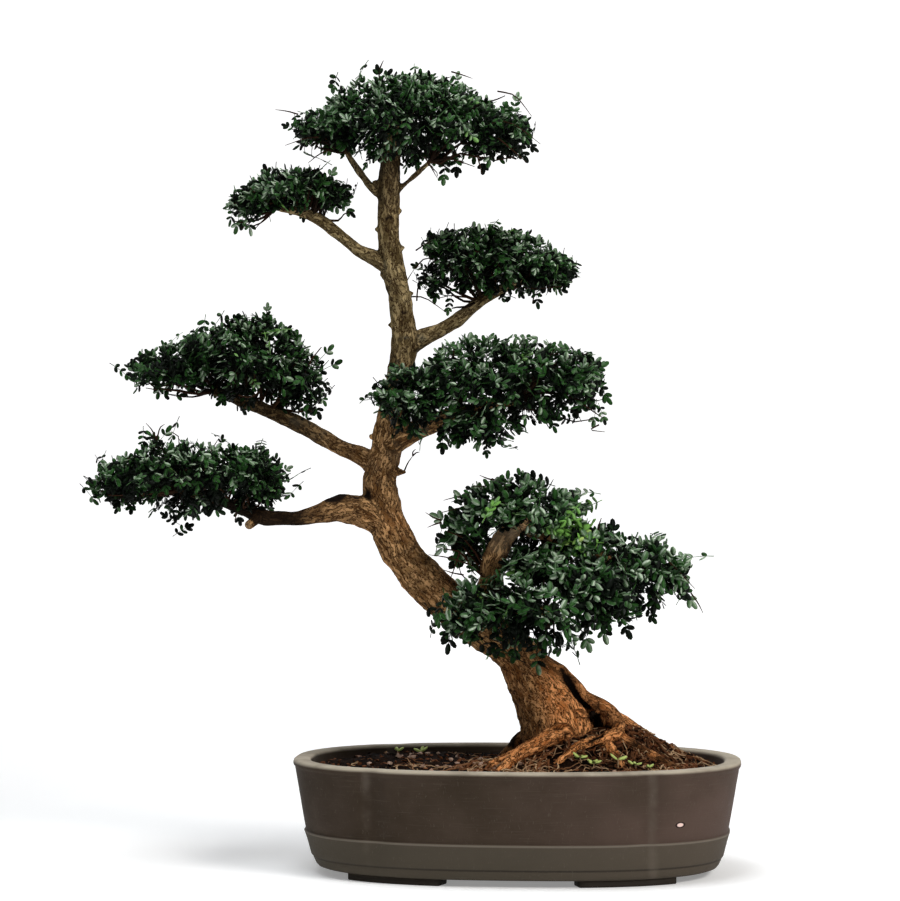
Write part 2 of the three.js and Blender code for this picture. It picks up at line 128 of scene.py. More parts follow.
class Pile:
    # many closed shells gathered into one mesh, with three values kept for each point
    def __init__(self):
        self.points, self.quads, self.triangles, self.values, self.count = [], [], [], [], 0

    def add(self, points, quads, triangles, values=None):
        # one shell, its faces counted on from the points that are already here
        self.points.append(points)
        self.quads.append(np.asarray(quads, int).reshape(-1, 4) + self.count)
        self.triangles.append(np.asarray(triangles, int).reshape(-1, 3) + self.count)
        self.values.append(np.zeros((len(points), 3)) if values is None else values)
        self.count += len(points)

    def addMany(self, places, quads, triangles, values):
        # shells with the same faces: a row of places and of values for each
        step = (np.arange(len(places)) * places.shape[1])[:, None, None]
        self.add(places.reshape(-1, 3), quads[None] + step, triangles[None] + step, values.reshape(-1, 3))

    def addTube(self, path, sides, count, tint=(0, 0, 0)):
        # rings of points at the path's radius round its middle, closed at both ends
        rows = curveThrough(path, count)
        middles, radii = rows[:, :3], np.maximum(rows[:, 3:], 1e-5)
        along, side, across = pathFrame(middles)
        turn = ringAngles(sides)[None, :, None]
        ring = np.cos(turn) * side[:, None] + np.sin(turn) * across[:, None]
        rings = middles[:, None] + radii[:, None] * ring
        points = np.vstack([rings.reshape(-1, 3), middles[:1] - along[:1] * radii[:1] * 0.4,
                            middles[-1:] + along[-1:] * radii[-1:] * 0.6])
        self.add(points, gridQuads(count, sides), capFans(count, sides),
                 np.tile(np.asarray(tint, float), (len(points), 1)))

    def addBars(self, middles, radii, sides, tones):
        # a bar round each row of middles, closed by a point at each end: its rings stand on the level side
        # and the way down
        count, steps = radii.shape
        along = unit(np.gradient(middles, axis=1))
        side = unit(np.cross(along, [0, 0, 1.0]))
        down = np.cross(along, side)
        turn = ringAngles(sides)[:, None]
        ring = np.cos(turn) * side[:, :, None] + np.sin(turn) * down[:, :, None]
        rings = middles[:, :, None] + radii[:, :, None, None] * ring
        ends = np.stack([middles[:, 0] - along[:, 0] * radii[:, :1],
                         middles[:, -1] + along[:, -1] * radii[:, -1:]], axis=1)
        points = np.concatenate([rings.reshape(count, -1, 3), ends], axis=1)
        self.addMany(points, gridQuads(steps, sides), capFans(steps, sides),
                     np.repeat(tones, points.shape[1] * 3))

    def gathered(self):
        # the points, quads, triangles and values of all the shells
        return [np.vstack(part) for part in (self.points, self.quads, self.triangles, self.values)]

    def piece(self, name, finish, slot, replaced=None, smooth=True):
        # all the shells as one piece of the scene, with their values
        *arrays, values = self.gathered()
        makePiece(name, *arrays, finish, slot, replaced, smooth, values)


def makePiece(name, points, quads, triangles, finish=None, slot=None, replaced=None, smooth=True,
              values=None):
    # puts the arrays into a mesh and, with a finish, hands it to the frame
    mesh = bpy.data.meshes.new(name)
    mesh.vertices.add(len(points))
    mesh.vertices.foreach_set("co", points.astype(np.float32).ravel())
    corners = np.concatenate([quads.ravel(), triangles.ravel()]).astype(np.int32)
    starts = np.concatenate([np.arange(len(quads)) * 4, len(quads) * 4 + np.arange(len(triangles)) * 3])
    mesh.loops.add(len(corners))
    mesh.loops.foreach_set("vertex_index", corners)
    mesh.polygons.add(len(starts))
    mesh.polygons.foreach_set("loop_start", starts.astype(np.int32))
    mesh.polygons.foreach_set("use_smooth", np.full(len(starts), smooth))
    mesh.update(calc_edges=True)
    if values is not None:
        keepValues(mesh, "growth", values)
    piece = bpy.data.objects.new(name, mesh)
    bpy.context.scene.collection.objects.link(piece)
    if finish is not None:
        settle(piece, finish, replaced)
    return piece


def keepValues(mesh, name, values):
    # three numbers for each point, which a finish reads by this name
    layer = mesh.attributes.new(name, "FLOAT_VECTOR", "POINT")
    layer.data.foreach_set("vector", values.astype(np.float32).ravel())


def settle(piece, finish, replaced=None):
    # gives the piece its finish, sets it under the frame's root body and hides the node it replaces
    piece.data.materials.clear()
    piece.data.materials.append(finish.material)
    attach(piece, "root")
    if replaced:
        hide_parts(replaced)
    print(piece.name, len(piece.data.vertices), "points,", len(piece.data.polygons), "faces")


def applied(piece):
    # the piece with its modifiers worked out and taken off
    graph = bpy.context.evaluated_depsgraph_get()
    mesh = bpy.data.meshes.new_from_object(piece.evaluated_get(graph))
    piece.modifiers.clear()
    piece.data = mesh
    return piece


def pointArrays(mesh):
    # the mesh's points and their normals, a row for each
    points = np.empty(len(mesh.vertices) * 3, np.float32)
    normals = np.empty(len(mesh.vertices) * 3, np.float32)
    mesh.vertices.foreach_get("co", points)
    mesh.vertices.foreach_get("normal", normals)
    return points.reshape(-1, 3).astype(float), normals.reshape(-1, 3).astype(float)


# Finishes

class Strand:
    # one socket of a finish: sums, products and powers of strands and numbers add Math nodes
    def __init__(self, finish, socket):
        self.finish, self.socket = finish, socket

    def maths(self, operation, *values):
        return self.finish.node("ShaderNodeMath", {"operation": operation}, dict(enumerate(values)))

    def __add__(self, other):
        return self.maths("ADD", self, other)

    def __mul__(self, other):
        return self.maths("MULTIPLY", self, other)

    def __sub__(self, other):
        return self.maths("SUBTRACT", self, other)

    def __rsub__(self, other):
        return self.maths("SUBTRACT", other, self)

    def __truediv__(self, other):
        return self.maths("DIVIDE", self, other)

    def __pow__(self, power):
        return self.maths("POWER", self, power)

    __radd__, __rmul__ = __add__, __mul__

    def absolute(self):
        return self.maths("ABSOLUTE", self)

    def between(self, low, high):
        # 0 below low, 1 above high, smooth between them
        return self.finish.node("ShaderNodeMapRange", {"interpolation_type": "SMOOTHSTEP"},
                                {"Value": self, "From Min": low, "From Max": high})

    def within(self, low, high, soft):
        # 1 from low to high, falling to 0 over the soft reach outside them
        return self.between(low - soft, low) * (1 - self.between(high, high + soft))


class Finish:
    # a material, built from nodes
    def __init__(self, name):
        self.material = bpy.data.materials.new(name)
        self.material.use_nodes = True
        self.tree = self.material.node_tree
        self.tree.nodes.clear()
        self.place = self.node("ShaderNodeTexCoord", out="Object")

    def node(self, kind, settings=None, sockets=None, out=0):
        # one node: its settings first, then its sockets' values or links; out is the output that is used
        made = self.tree.nodes.new(kind)
        for key, value in (settings or {}).items():
            setattr(made, key, value)
        for key, value in (sockets or {}).items():
            if isinstance(value, Strand):
                self.tree.links.new(value.socket, made.inputs[key])
            else:
                made.inputs[key].default_value = value
        return Strand(self, made.outputs[out])

    def noise(self, place, scale, detail=3.0, roughness=0.5, distortion=0.0):
        # soft clouds, about 0.3 to 0.7
        sockets = {"Vector": place, "Scale": scale, "Detail": detail, "Roughness": roughness,
                   "Distortion": distortion}
        return self.node("ShaderNodeTexNoise", {}, sockets, "Fac")

    def cells(self, place, scale, feature="F1"):
        # how far the place is from the nearest cell's middle, or with another feature from its edge
        return self.node("ShaderNodeTexVoronoi", {"feature": feature}, {"Vector": place, "Scale": scale},
                         "Distance")

    def blend(self, share, first, second):
        # Mix node on colours: its factor is socket 0, its two colours are sockets 6 and 7
        return self.node("ShaderNodeMix", {"data_type": "RGBA"}, {0: share, 6: first, 7: second}, 2)

    def layered(self, base, *layers):
        # each layer is its share and its colour, laid over those before it
        colour = base if isinstance(base, Strand) else paint(*base)
        for share, tint in layers:
            colour = self.blend(share, colour, paint(*tint))
        return colour

    def stretch(self, place, factors):
        # the place with each of its three parts multiplied
        return self.node("ShaderNodeVectorMath", {"operation": "MULTIPLY"}, {0: place, 1: factors})

    def bent(self, place, scale, reach):
        # the place moved about by a coloured noise, at most half the reach each way
        sway = self.node("ShaderNodeTexNoise", {}, {"Vector": place, "Scale": scale, "Detail": 2}, "Color")
        return self.node("ShaderNodeVectorMath", {"operation": "MULTIPLY_ADD"},
                         {0: sway, 1: (reach,) * 3, 2: place})

    def nearness(self, middle, radius, place):
        # 1 up to 0.7 of the radius from the middle, falling to 0 at the radius
        away = self.node("ShaderNodeVectorMath", {"operation": "DISTANCE"}, {0: place, 1: middle}, "Value")
        return 1 - away.between(radius * 0.7, radius)

    def kept(self, name):
        # the three parts of an attribute that the mesh holds for each point, as one vector
        return self.node("ShaderNodeAttribute", {"attribute_name": name}, out="Vector")

    def parts(self, vector):
        # the three parts of a vector
        outputs = self.node("ShaderNodeSeparateXYZ", {}, {0: vector}).socket.node.outputs
        return [Strand(self, outputs[k]) for k in range(3)]

    def bump(self, height, depth, strength, under=None):
        # a normal tipped by the height's slope, over another bump where one is given
        sockets = {"Height": height, "Distance": depth, "Strength": strength}
        if under is not None:
            sockets["Normal"] = under
        return self.node("ShaderNodeBump", {}, sockets, "Normal")

    def surface(self, colour, roughness, specular, others):
        # the shader and the output end the material
        shader = self.node("ShaderNodeBsdfPrincipled", {}, {
            "Base Color": colour, "Roughness": roughness, "Specular IOR Level": specular, **others})
        output = self.tree.nodes.new("ShaderNodeOutputMaterial")
        self.tree.links.new(shader.socket, output.inputs["Surface"])
        return self


def paint(red, green, blue):
    # a colour as the sockets take it
    return red, green, blue, 1.0


def stonewareFinish():
    # dark matte clay: mottled, with fine scratches, paler blotches on the right half as painted light from
    # the right, a paler rim, worn and with painted highlight on its top, a greener foot band with a drawn
    # line and a painted highlight along its top edge, lit folds at the lobes, one small chip in front and
    # painted shade on the feet and underside; heights in metres
    finish = Finish("potStoneware")
    x, y, z = finish.parts(finish.place)
    cloud = finish.noise(finish.place, 14, 4, 0.6)
    grain = finish.noise(finish.place, 420, 3, 0.6)
    streak = finish.noise(finish.stretch(finish.place, (30, 30, 900)), 1, 3, 0.6)
    blotch = finish.noise(finish.place, 9, 3, 0.5).between(0.4, 0.6)
    scratch = finish.noise(finish.stretch(finish.place, (60, 60, 14)), 6, 2, 0.5, 2.5).between(0.665, 0.68)
    foldPlace, chipPlace = 0.139, (0.275, -0.105, 0.114)
    fold = 1 - ((x - potCentre[0]).absolute() - foldPlace).absolute().between(0.0005, 0.0075)
    wide = finish.stretch(finish.place, (1, 1, 1.9))
    colour = finish.layered(
        (0.036, 0.025, 0.016),
        (cloud.between(0.3, 0.7), (0.053, 0.037, 0.026)),
        # painted light: paler blotches over the right half, as if lit from the right
        (x.between(0.05, 0.34) * (0.35 + 0.65 * blotch) * 0.8, (0.095, 0.062, 0.050)),
        (streak.between(0.55, 0.8) * 0.35, (0.10, 0.078, 0.060)),
        ((1 - z.between(0.0405, 0.0425)) * 0.75, (0.074, 0.063, 0.046)),  # foot band
        (z.within(0.0165, 0.0175, 0.001) * 0.6, (0.018, 0.014, 0.011)),  # drawn line
        (z.within(0.0412, 0.0422, 0.001) * 0.75, (0.170, 0.145, 0.115)),  # painted highlight along the band's top edge
        (fold * cloud.between(0.35, 0.6) * 0.5, (0.125, 0.102, 0.082)),
        (z.between(0.1095, 0.1128) * (0.55 + 0.45 * cloud.between(0.35, 0.6)), (0.43, 0.375, 0.290)),  # rim: worn, with painted highlight on its top
        (scratch * 0.18, (0.14, 0.115, 0.095)),
        (finish.nearness(chipPlace, 0.0066, wide) * 0.95, (0.008, 0.005, 0.004)),
        (finish.nearness(chipPlace, 0.0042, wide), (0.80, 0.58, 0.52)),
        ((1 - z.between(0.004, 0.009)) * 0.8, (0.016, 0.013, 0.011)))  # painted shade on the feet and underside
    normal = finish.bump(grain * 0.4 + streak * 0.35 + cloud * 0.5, 0.0006, 0.7)
    return finish.surface(colour, 0.62 + 0.25 * grain - 0.12 * cloud, 0.08, {"Normal": normal})


def barkFinish():
    # bark with thin dark crevices that wander along the wood's own grain: vivid orange where 'tint' is
    # warm, brown on the trunk and olive tan above, with dark spots, yellow flecks and grey patches there.
    # 'grain' holds the place across and along the limb; 'tint' the warmth, raised on the bulb's right half
    # as painted light, the ridges, and the scars with painted shade, pale above 0 and dark below
    finish = Finish("bark")
    warmth, ridge, scarAndShade = finish.parts(finish.kept("tint"))
    grain = finish.bent(finish.kept("grain"), 150, 0.005)
    flakes = finish.cells(finish.stretch(grain, (1, 1, 0.40)), 225, "DISTANCE_TO_EDGE")
    streaks = finish.noise(finish.stretch(grain, (1, 1, 0.30)), 310, 3, 0.62)
    fine = finish.noise(finish.stretch(grain, (1, 1, 0.6)), 800, 3, 0.65)
    patches = finish.noise(finish.place, 42, 4, 0.7)
    spots = 1 - finish.cells(finish.place, 150).between(0.12, 0.24)
    flecks = 1 - finish.cells(finish.stretch(finish.place, (1, 1, -1)), 210).between(0.10, 0.20)
    lichen = finish.noise(finish.place, 38, 3, 0.6).between(0.55, 0.68)
    brown, orange, cool = warmth.between(0.0, 0.5), warmth.between(0.5, 1.0), 1 - warmth.between(0.15, 0.7)
    low = finish.layered((0.080, 0.055, 0.022), (brown, (0.115, 0.054, 0.017)),
                         (orange, (0.480, 0.155, 0.040)))
    high = finish.layered((0.380, 0.288, 0.143), (brown, (0.560, 0.320, 0.140)),
                          (orange, (1.000, 0.440, 0.165)))
    lit = streaks.between(0.36, 0.68) * 0.42 + fine.between(0.36, 0.64) * 0.26 \
        + patches.between(0.3, 0.7) * 0.28 + ridge * 0.25 + warmth.between(0.6, 1.0) * 0.12
    line = 1 - (streaks - 0.5).absolute().between(0.012, 0.056)
    crevice = (line * 0.95 + (1 - flakes.between(0.02, 0.12)) * 0.45).between(0.15, 1.0)
    colour = finish.layered(
        finish.blend(lit.between(0.10, 1.0), low, high),
        (crevice * 0.88, (0.020, 0.008, 0.003)),
        (fine.between(0.54, 0.74) * (0.45 - 0.15 * warmth), (0.040, 0.020, 0.009)),
        (spots * (0.12 + 0.45 * cool), (0.018, 0.010, 0.005)),
        (flecks * cool * 0.5, (0.36, 0.25, 0.11)),
        (lichen * cool * 0.5, (0.090, 0.088, 0.066)),
        (scarAndShade.between(0.05, 1.0), (0.46, 0.36, 0.24)),
        # dark below 0: painted shade in the grooves, in the hollows and on the shaded boughs, and dark
        # spots
        ((scarAndShade * -1).between(0.05, 0.8), (0.010, 0.006, 0.004)))
    normal = finish.bump(streaks * 0.5 - crevice * (0.3 + 0.4 * warmth), 0.0022, 1.0,
                         finish.bump(fine, 0.0006, 0.8))
    return finish.surface(colour, 0.74 + 0.2 * fine, 0.04, {"Normal": normal})


def leafFinish():
    # leaflet: near black inside the pad as painted shade, green on it with a painted highlight along its
    # margin and a grey painted sheen of the sky on one half of the lighter ones, fresh green on young ones,
    # yellow green on seedlings.
    # 'growth' holds the place along and across the leaflet and its tone
    finish = Finish("leaf")
    along, across, tone = finish.parts(finish.kept("growth"))
    mottle = finish.noise(finish.place, 210, 3, 0.5)
    shade = tone + mottle * 0.30 - 0.15
    outward = across.absolute()
    rib = 1 - outward.between(0.02, 0.16)
    colour = finish.layered(
        # the tone carries painted shade and light: near black deep in the pad, green further out
        (0.0008, 0.0030, 0.0006),
        (shade.between(0.34, 0.84), (0.022, 0.096, 0.014)),
        # painted sheen on one half of the lighter leaflets
        (shade.between(0.68, 0.98) * (0.22 + 0.78 * across.between(-0.1, 0.45)), (0.450, 0.550, 0.410)),
        # painted highlight along the margins of the lighter leaflets
        (outward.between(0.72, 0.95) * shade.between(0.45, 0.85) * 0.55, (0.420, 0.500, 0.390)),
        (rib * shade.between(0.4, 0.9) * 0.25, (0.090, 0.150, 0.060)),
        (tone.between(1.4, 2.2), (0.160, 0.360, 0.070)),
        (tone.between(3.0, 3.6), (0.560, 0.680, 0.200)))
    veins = along * 40 - outward * 9
    normal = finish.bump(veins.maths("SINE", veins) * 0.5 + rib + mottle * 2, 0.00025, 0.6)
    return finish.surface(colour, 0.40 + 0.2 * mottle, 0.10, {"Normal": normal})


def soilFinish():
    # damp dark compost: crumbs of brown and near black with pale flecks
    finish = Finish("compost")
    crumbs = finish.cells(finish.place, 420)
    clods = finish.noise(finish.place, 55, 5, 0.65)
    fine = finish.noise(finish.place, 700, 3, 0.7)
    colour = finish.layered((0.003, 0.0015, 0.001), (clods.between(0.38, 0.70), (0.024, 0.011, 0.006)),
                            (fine.between(0.6, 0.75) * 0.5, (0.11, 0.050, 0.026)))
    return finish.surface(colour, 0.82 + 0.15 * fine, 0.03,
                          {"Normal": finish.bump(crumbs * 0.6 + fine * 0.8, 0.0022, 1.0)})


def looseFinish(name, scale, tones, grime, roughness, relief):
    # loose things: 'growth' x is each one's own tone, from black by rust to pale, with darker grime on it
    finish = Finish(name)
    tone = finish.parts(finish.kept("growth"))[0]
    fine = finish.noise(finish.place, scale, 3, 0.6)
    black, rust, pale = tones
    colour = finish.layered(black, (tone.between(0.0, 0.5), rust), (tone.between(0.5, 1.0), pale),
                            (fine.between(0.5, 0.7) * grime[0], grime[1]))
    return finish.surface(colour, roughness[0] + roughness[1] * fine, 0.05,
                          {"Normal": finish.bump(fine, *relief)})


def screenFinish():
    # black moulded mesh
    finish = Finish("screenPlastic")
    fine = finish.noise(finish.place, 900, 2, 0.5)
    return finish.surface(paint(0.02, 0.02, 0.02), 0.5 + 0.2 * fine, 0.5,
                          {"Normal": finish.bump(fine, 0.0002, 0.5)})


stoneware = stonewareFinish()
bark = barkFinish()
leafGreen = leafFinish()
compost = soilFinish()
# stones, crumbs and bark chips, then fine roots, twigs and straw
grit = looseFinish("grit", 900, ((0.007, 0.003, 0.002), (0.18, 0.066, 0.028), (0.60, 0.42, 0.32)),
                   (0.4, (0.03, 0.02, 0.014)), (0.7, 0.2), (0.0006, 0.8))
fibre = looseFinish("fineRoot", 500, ((0.010, 0.006, 0.004), (0.180, 0.070, 0.028), (0.62, 0.42, 0.24)),
                    (0.5, (0.03, 0.014, 0.007)), (0.75, 0.15), (0.0005, 0.7))
print("finishes made")


# Camera, lights and floor

view = {
    "turn": 5.0, "distance": 3.0, "height": 0.4225, "sideways": -0.0676, "lens": 118.92,
    # power, size, place, target and tint of each lamp
    "lamps": {
        "keyLamp": (88, 1.2, (2.6, -2.2, 2.4), (0.05, 0, 0.35), (1.0, 0.97, 0.93)),
        "topLamp": (60, 1.6, (-0.3, -0.6, 3.1), (0, 0, 0.4), (0.94, 0.97, 1.0)),
        "fillLamp": (2, 2.0, (-2.6, -2.6, 1.2), (0, 0, 0.4), (0.96, 0.98, 1.0)),
    },
    "skyLight": 0.12, "skyTint": (0.96, 0.98, 1.0), "nearGlow": 0.25, "farGlow": 0.7,
    "floorReach": 9, "sweepStart": 5, "sweepRadius": 2.5,
}


def aimed(made, place, target):
    # sets a camera or a lamp at its place, looking at its target
    made.location = place
    made.rotation_euler = (Vector(target) - Vector(place)).to_track_quat("-Z", "Y").to_euler()
    bpy.context.scene.collection.objects.link(made)


def makeCamera():
    # the camera stands square to a line turned from straight ahead, level with the middle of the tree
    turn = math.radians(view["turn"])
    forward = np.array([-math.sin(turn), math.cos(turn), 0])
    right = np.array([math.cos(turn), math.sin(turn), 0])
    place = potCentre - forward * view["distance"] + right * view["sideways"] + [0, 0, view["height"]]
    lens = bpy.data.cameras.new("camera")
    lens.lens, lens.sensor_width, lens.clip_end = view["lens"], 36, 60
    camera = bpy.data.objects.new("camera", lens)
    aimed(camera, place, place + forward)
    bpy.context.scene.camera = camera


def makeLamps():
    # square soft lamps
    for name, (power, size, place, target, tint) in view["lamps"].items():
        lamp = bpy.data.lights.new(name, "AREA")
        lamp.energy, lamp.size, lamp.color = power, size, tint
        aimed(bpy.data.objects.new(name, lamp), place, target)


def makeFloor():
    # a level sheet that sweeps up far behind: a quarter circle joins the floor to the wall
    reach, start, radius = view["floorReach"], view["sweepStart"], view["sweepRadius"]
    sweep = np.linspace(0, math.pi / 2, 24)
    depth = np.concatenate([[-reach, 0], start + radius * np.sin(sweep), [start + radius]])
    rise = np.concatenate([[0, 0], radius - radius * np.cos(sweep), [reach]])
    across = np.array([-reach, 0, reach])
    rows = np.repeat(np.arange(len(depth)), len(across))
    places = np.column_stack([np.tile(across, len(depth)), depth[rows], rise[rows]])
    cell = np.arange(len(depth) - 1)[:, None] * 3 + np.arange(2)[None, :]
    quads = np.stack([cell, cell + 1, cell + 4, cell + 3], axis=-1).reshape(-1, 4)
    floor = makePiece("studioFloor", places, quads, np.empty((0, 3), int))
    finish = Finish("studioPaper")
    depthPlace = finish.parts(finish.place)[1]
    glow = finish.blend(depthPlace.between(0.6, 3.0), paint(*[view["nearGlow"]] * 3),
                        paint(*[view["farGlow"]] * 3))
    finish.surface(paint(0.9, 0.9, 0.9), 0.9, 0.1, {"Emission Color": glow, "Emission Strength": 1.0})
    floor.data.materials.append(finish.material)


def makeSky():
    # the same faint light from all round
    world = bpy.data.worlds.new("studio")
    bpy.context.scene.world = world
    world.use_nodes = True
    light = world.node_tree.nodes["Background"].inputs
    light["Color"].default_value = paint(*view["skyTint"])
    light["Strength"].default_value = view["skyLight"]


bpy.context.scene.view_settings.view_transform = "Standard"
makeCamera()
makeLamps()
makeFloor()
makeSky()
print("camera, lamps and floor set")


# Pot

pot = {
    "length": 0.450, "width": 0.304, "power": 2.45, "notchDepth": 0.0045, "notchSpread": 0.075,
    "notchAngle": 10 * 2 * math.pi / 64, "ringInset": 0.060, "sides": 320, "wobble": 0.00035,
    "halfReach": 0.2, "notchFade": (0.009, 0.008),
    "footInset": (0.027, 0.047), "footAngles": (39, 74), "footSteps": 17,
    # [drawn in, height] of each ring of a foot
    "footRings": [[0.0011, 0.0], [0.0003, 0.0006], [0, 0.0016], [0, 0.0085]],
    "drainRadius": 0.013, "drains": (-0.095, 0.095), "drainHeights": (-0.01, 0.01, 0.04),
    # [inset from the rim, height] in millimetres: under side, foot, band, wall, lip, inner wall, floor
    "profile": [
        [200, 6.5], [150, 6.5], [90, 6.5], [50, 6.5], [34, 6.5], [27, 6.6], [24.2, 7.6], [22.2, 10],
        [20.8, 13], [19.8, 15.6], [19.6, 16.6], [19.1, 17.2], [18.3, 17.8], [17.6, 18.8], [16.8, 22],
        [15.4, 27.5], [13.9, 33], [12.4, 38], [11.3, 41], [11.1, 41.9], [11.6, 42.5], [12.7, 43.1],
        [12.9, 43.8], [12.5, 45], [11.2, 52], [9.4, 62], [7.5, 73], [5.6, 84], [3.9, 94], [2.6, 101.5],
        [2.0, 104.8], [1.9, 105.8], [1.3, 106.6], [0.5, 107.6], [0.05, 109], [0.1, 110.6], [0.7, 112.3],
        [1.9, 113.2], [3.4, 113.5], [9, 113.5], [14, 113.4], [15.8, 112.9], [16.8, 111.8], [17.4, 109.6],
        [19.5, 95], [22.5, 72], [26.5, 45], [29.4, 24], [30.4, 19.5], [32.6, 16.4], [36, 14.9],
        [40, 14.5], [60, 14.5], [90, 14.5], [150, 14.5], [200, 14.5],
    ],
}


def outlinePlaces(angles, insets):
    # a superellipse set in from the rim, with four upright notches between its lobes that fade out under
    # the foot
    soften = lambda value: np.sign(value) * np.abs(value) ** (2 / pot["power"])
    edge = np.minimum(insets, pot["ringInset"])
    outer = pot["length"] / 2
    share = (outer - insets) / (outer - edge)
    fold = np.abs(np.abs(np.arctan2(np.sin(angles), np.abs(np.cos(angles)))) - pot["notchAngle"])
    start, reach = pot["notchFade"]
    fade = np.clip(1 - np.maximum(0, insets - start) / reach, 0, 1)
    notch = pot["notchDepth"] * fade * np.exp(-(fold / pot["notchSpread"]) ** 2)
    x = (outer - edge - notch) * soften(np.cos(angles)) * share
    y = (pot["width"] / 2 - edge - notch) * soften(np.sin(angles)) * share
    return np.stack([x, y], axis=-1)


def footShell(turnX, turnY):
    # one foot: a curved block under the pot's edge, its lower rim drawn in by a small round
    low, high = np.radians(pot["footAngles"])
    outer, inner = pot["footInset"]
    steps = pot["footSteps"]
    angles = np.linspace(low, high, steps)
    rings = []
    for drawn, z in pot["footRings"]:
        front = outlinePlaces(angles, np.full(steps, outer + drawn))
        back = outlinePlaces(angles, np.full(steps, inner - drawn))
        ring = np.vstack([front, back[::-1]]) * [turnX, turnY]
        rings.append(np.column_stack([ring, np.full(2 * steps, z)]))
    rings = np.array(rings) + potCentre
    points = np.vstack([rings.reshape(-1, 3), rings[0].mean(axis=0), rings[-1].mean(axis=0)])
    quads, fans = gridQuads(len(rings), 2 * steps), capFans(len(rings), 2 * steps)
    if turnX * turnY < 0:
        quads, fans = quads[:, ::-1], fans[:, ::-1]
    return points, quads, fans


def makePot():
    # the profile carried round the outline; drain holes are cut and feet set under it
    inset, z = (np.array(pot["profile"]) * millimetre).T
    angles = ringAngles(pot["sides"])[None, :]
    flat = outlinePlaces(angles, inset[:, None] + 0 * angles)
    rows, sides = len(inset), pot["sides"]
    shell = np.concatenate([flat, np.broadcast_to(z[:, None, None], (rows, sides, 1))], axis=-1)
    shell = shell.reshape(-1, 3)
    sway = layeredNoise(shell, 0.06, 5) * pot["wobble"]
    shell[:, :2] *= (1 + sway / pot["halfReach"])[:, None]
    points = np.vstack([shell, [0, 0, z[0]], [0, 0, z[-1]]]) + potCentre
    body = makePiece("potBody", points, gridQuads(rows, sides), capFans(rows, sides))
    for place in pot["drains"]:
        bore = Pile()
        bore.addTube([[potCentre[0] + place, 0, z, pot["drainRadius"]] for z in pot["drainHeights"]], 40, 5)
        cutter = makePiece("bore", *bore.gathered()[:3])
        cut = body.modifiers.new("drain", "BOOLEAN")
        cut.operation, cut.object, cut.solver = "DIFFERENCE", cutter, "EXACT"
        applied(body)
        bpy.data.objects.remove(cutter)
    return body


potBody = makePot()
settle(potBody, stoneware, "pot")
feet = Pile()
for turnX, turnY in itertools.product((1, -1), repeat=2):
    feet.add(*footShell(turnX, turnY))
potFeet = makePiece("potFeet", *feet.gathered()[:3], stoneware, "stoneware", "pot")
screenPlastic = screenFinish()
for nodeName in ("drain_screen_1", "drain_screen_2"):
    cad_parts[nodeName].data.materials.clear()
    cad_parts[nodeName].data.materials.append(screenPlastic.material)
print("pot made")


# Soil

soil = {
    "edge": 0.103, "crown": 0.105, "wall": 0.0174, "wallTop": 0.1115, "slope": 13 / 91.5, "gap": 0.0006,
    "bottom": 0.0149, "middle": 0.2245, "sides": 220, "rings": 56,
    # [x, y, height, spread along x, spread along y] of each heap, in millimetres from the pot's middle
    "heaps": [[96, 0, 20, 60, 50], [118, 2, 20, 46, 40], [40, -40, 14, 50, 40], [20, 0, 8, 70, 70],
              [-120, 30, 4, 60, 60]],
    "clods": 0.0013, "crumbs": 0.0016, "crumbCell": 0.007, "fade": 0.016,
    # height and further inset of the rings that close it below
    "lower": ((0.060, 0), (0.026, 0.0005), (0.0149, 0.0115)),
}


def soilInset(z):
    # the pot's sloping inner wall at this height, and a hair's gap
    return soil["wall"] + (soil["wallTop"] - z) * soil["slope"] + soil["gap"]


def soilHeight(x, y, inset):
    # the heaps are bell curves, waves make clods and small noise makes crumbs; all fade out at the wall
    lift = np.zeros_like(x)
    for heapX, heapY, height, spreadX, spreadY in np.array(soil["heaps"]) * millimetre:
        lift += height * np.exp(-((x - heapX) / spreadX) ** 2 - ((y - heapY) / spreadY) ** 2)
    lift += soil["clods"] * np.sin(x / 0.013 + y / 0.021) * np.cos(y / 0.015 - x / 0.029)
    flat = np.stack([x, y, 0 * x], axis=-1).reshape(-1, 3)
    crumbs = layeredNoise(flat, soil["crumbCell"], 21, 3).reshape(x.shape) * soil["crumbs"]
    fade = np.clip((inset - soilInset(soil["edge"])) / soil["fade"], 0, 1)
    return soil["edge"] + (soil["crown"] - soil["edge"] + lift) * fade + crumbs * (0.3 + 0.7 * fade)


def makeSoil():
    # rings from the middle out to the wall carry the top, then the side and bottom close it
    sides = soil["sides"]
    angles = ringAngles(sides)[None, :]
    edge = soilInset(soil["edge"])
    inset = (edge + (soil["middle"] - edge) * np.linspace(1, 0, soil["rings"]))[:, None] + 0 * angles
    flat = outlinePlaces(angles, inset)
    shell = [np.concatenate([flat, soilHeight(flat[..., 0], flat[..., 1], inset)[..., None]], axis=-1)]
    for z, extra in soil["lower"]:
        ring = outlinePlaces(angles, soilInset(z) + extra + 0 * angles)
        shell.append(np.concatenate([ring, np.full((1, sides, 1), z)], axis=-1))
    centre = np.array([[0, 0, shell[0][0, :, 2].mean()], [0, 0, soil["bottom"]]])
    shell = np.concatenate(shell, axis=0)
    points = np.vstack([shell.reshape(-1, 3), centre]) + potCentre
    rows = len(shell)
    makePiece("soilBed", points, gridQuads(rows, sides)[:, ::-1], capFans(rows, sides)[:, ::-1],
              compost, "soil", "soil")


makeSoil()


def ballShell():
    # an icosahedron's corners and faces
    bpy.ops.mesh.primitive_ico_sphere_add(subdivisions=1, radius=1)
    made = bpy.context.active_object
    points = pointArrays(made.data)[0]
    faces = np.empty(len(made.data.polygons) * 3, np.int32)
    made.data.polygons.foreach_get("vertices", faces)
    bpy.data.objects.remove(made)
    return points, faces.reshape(-1, 3)


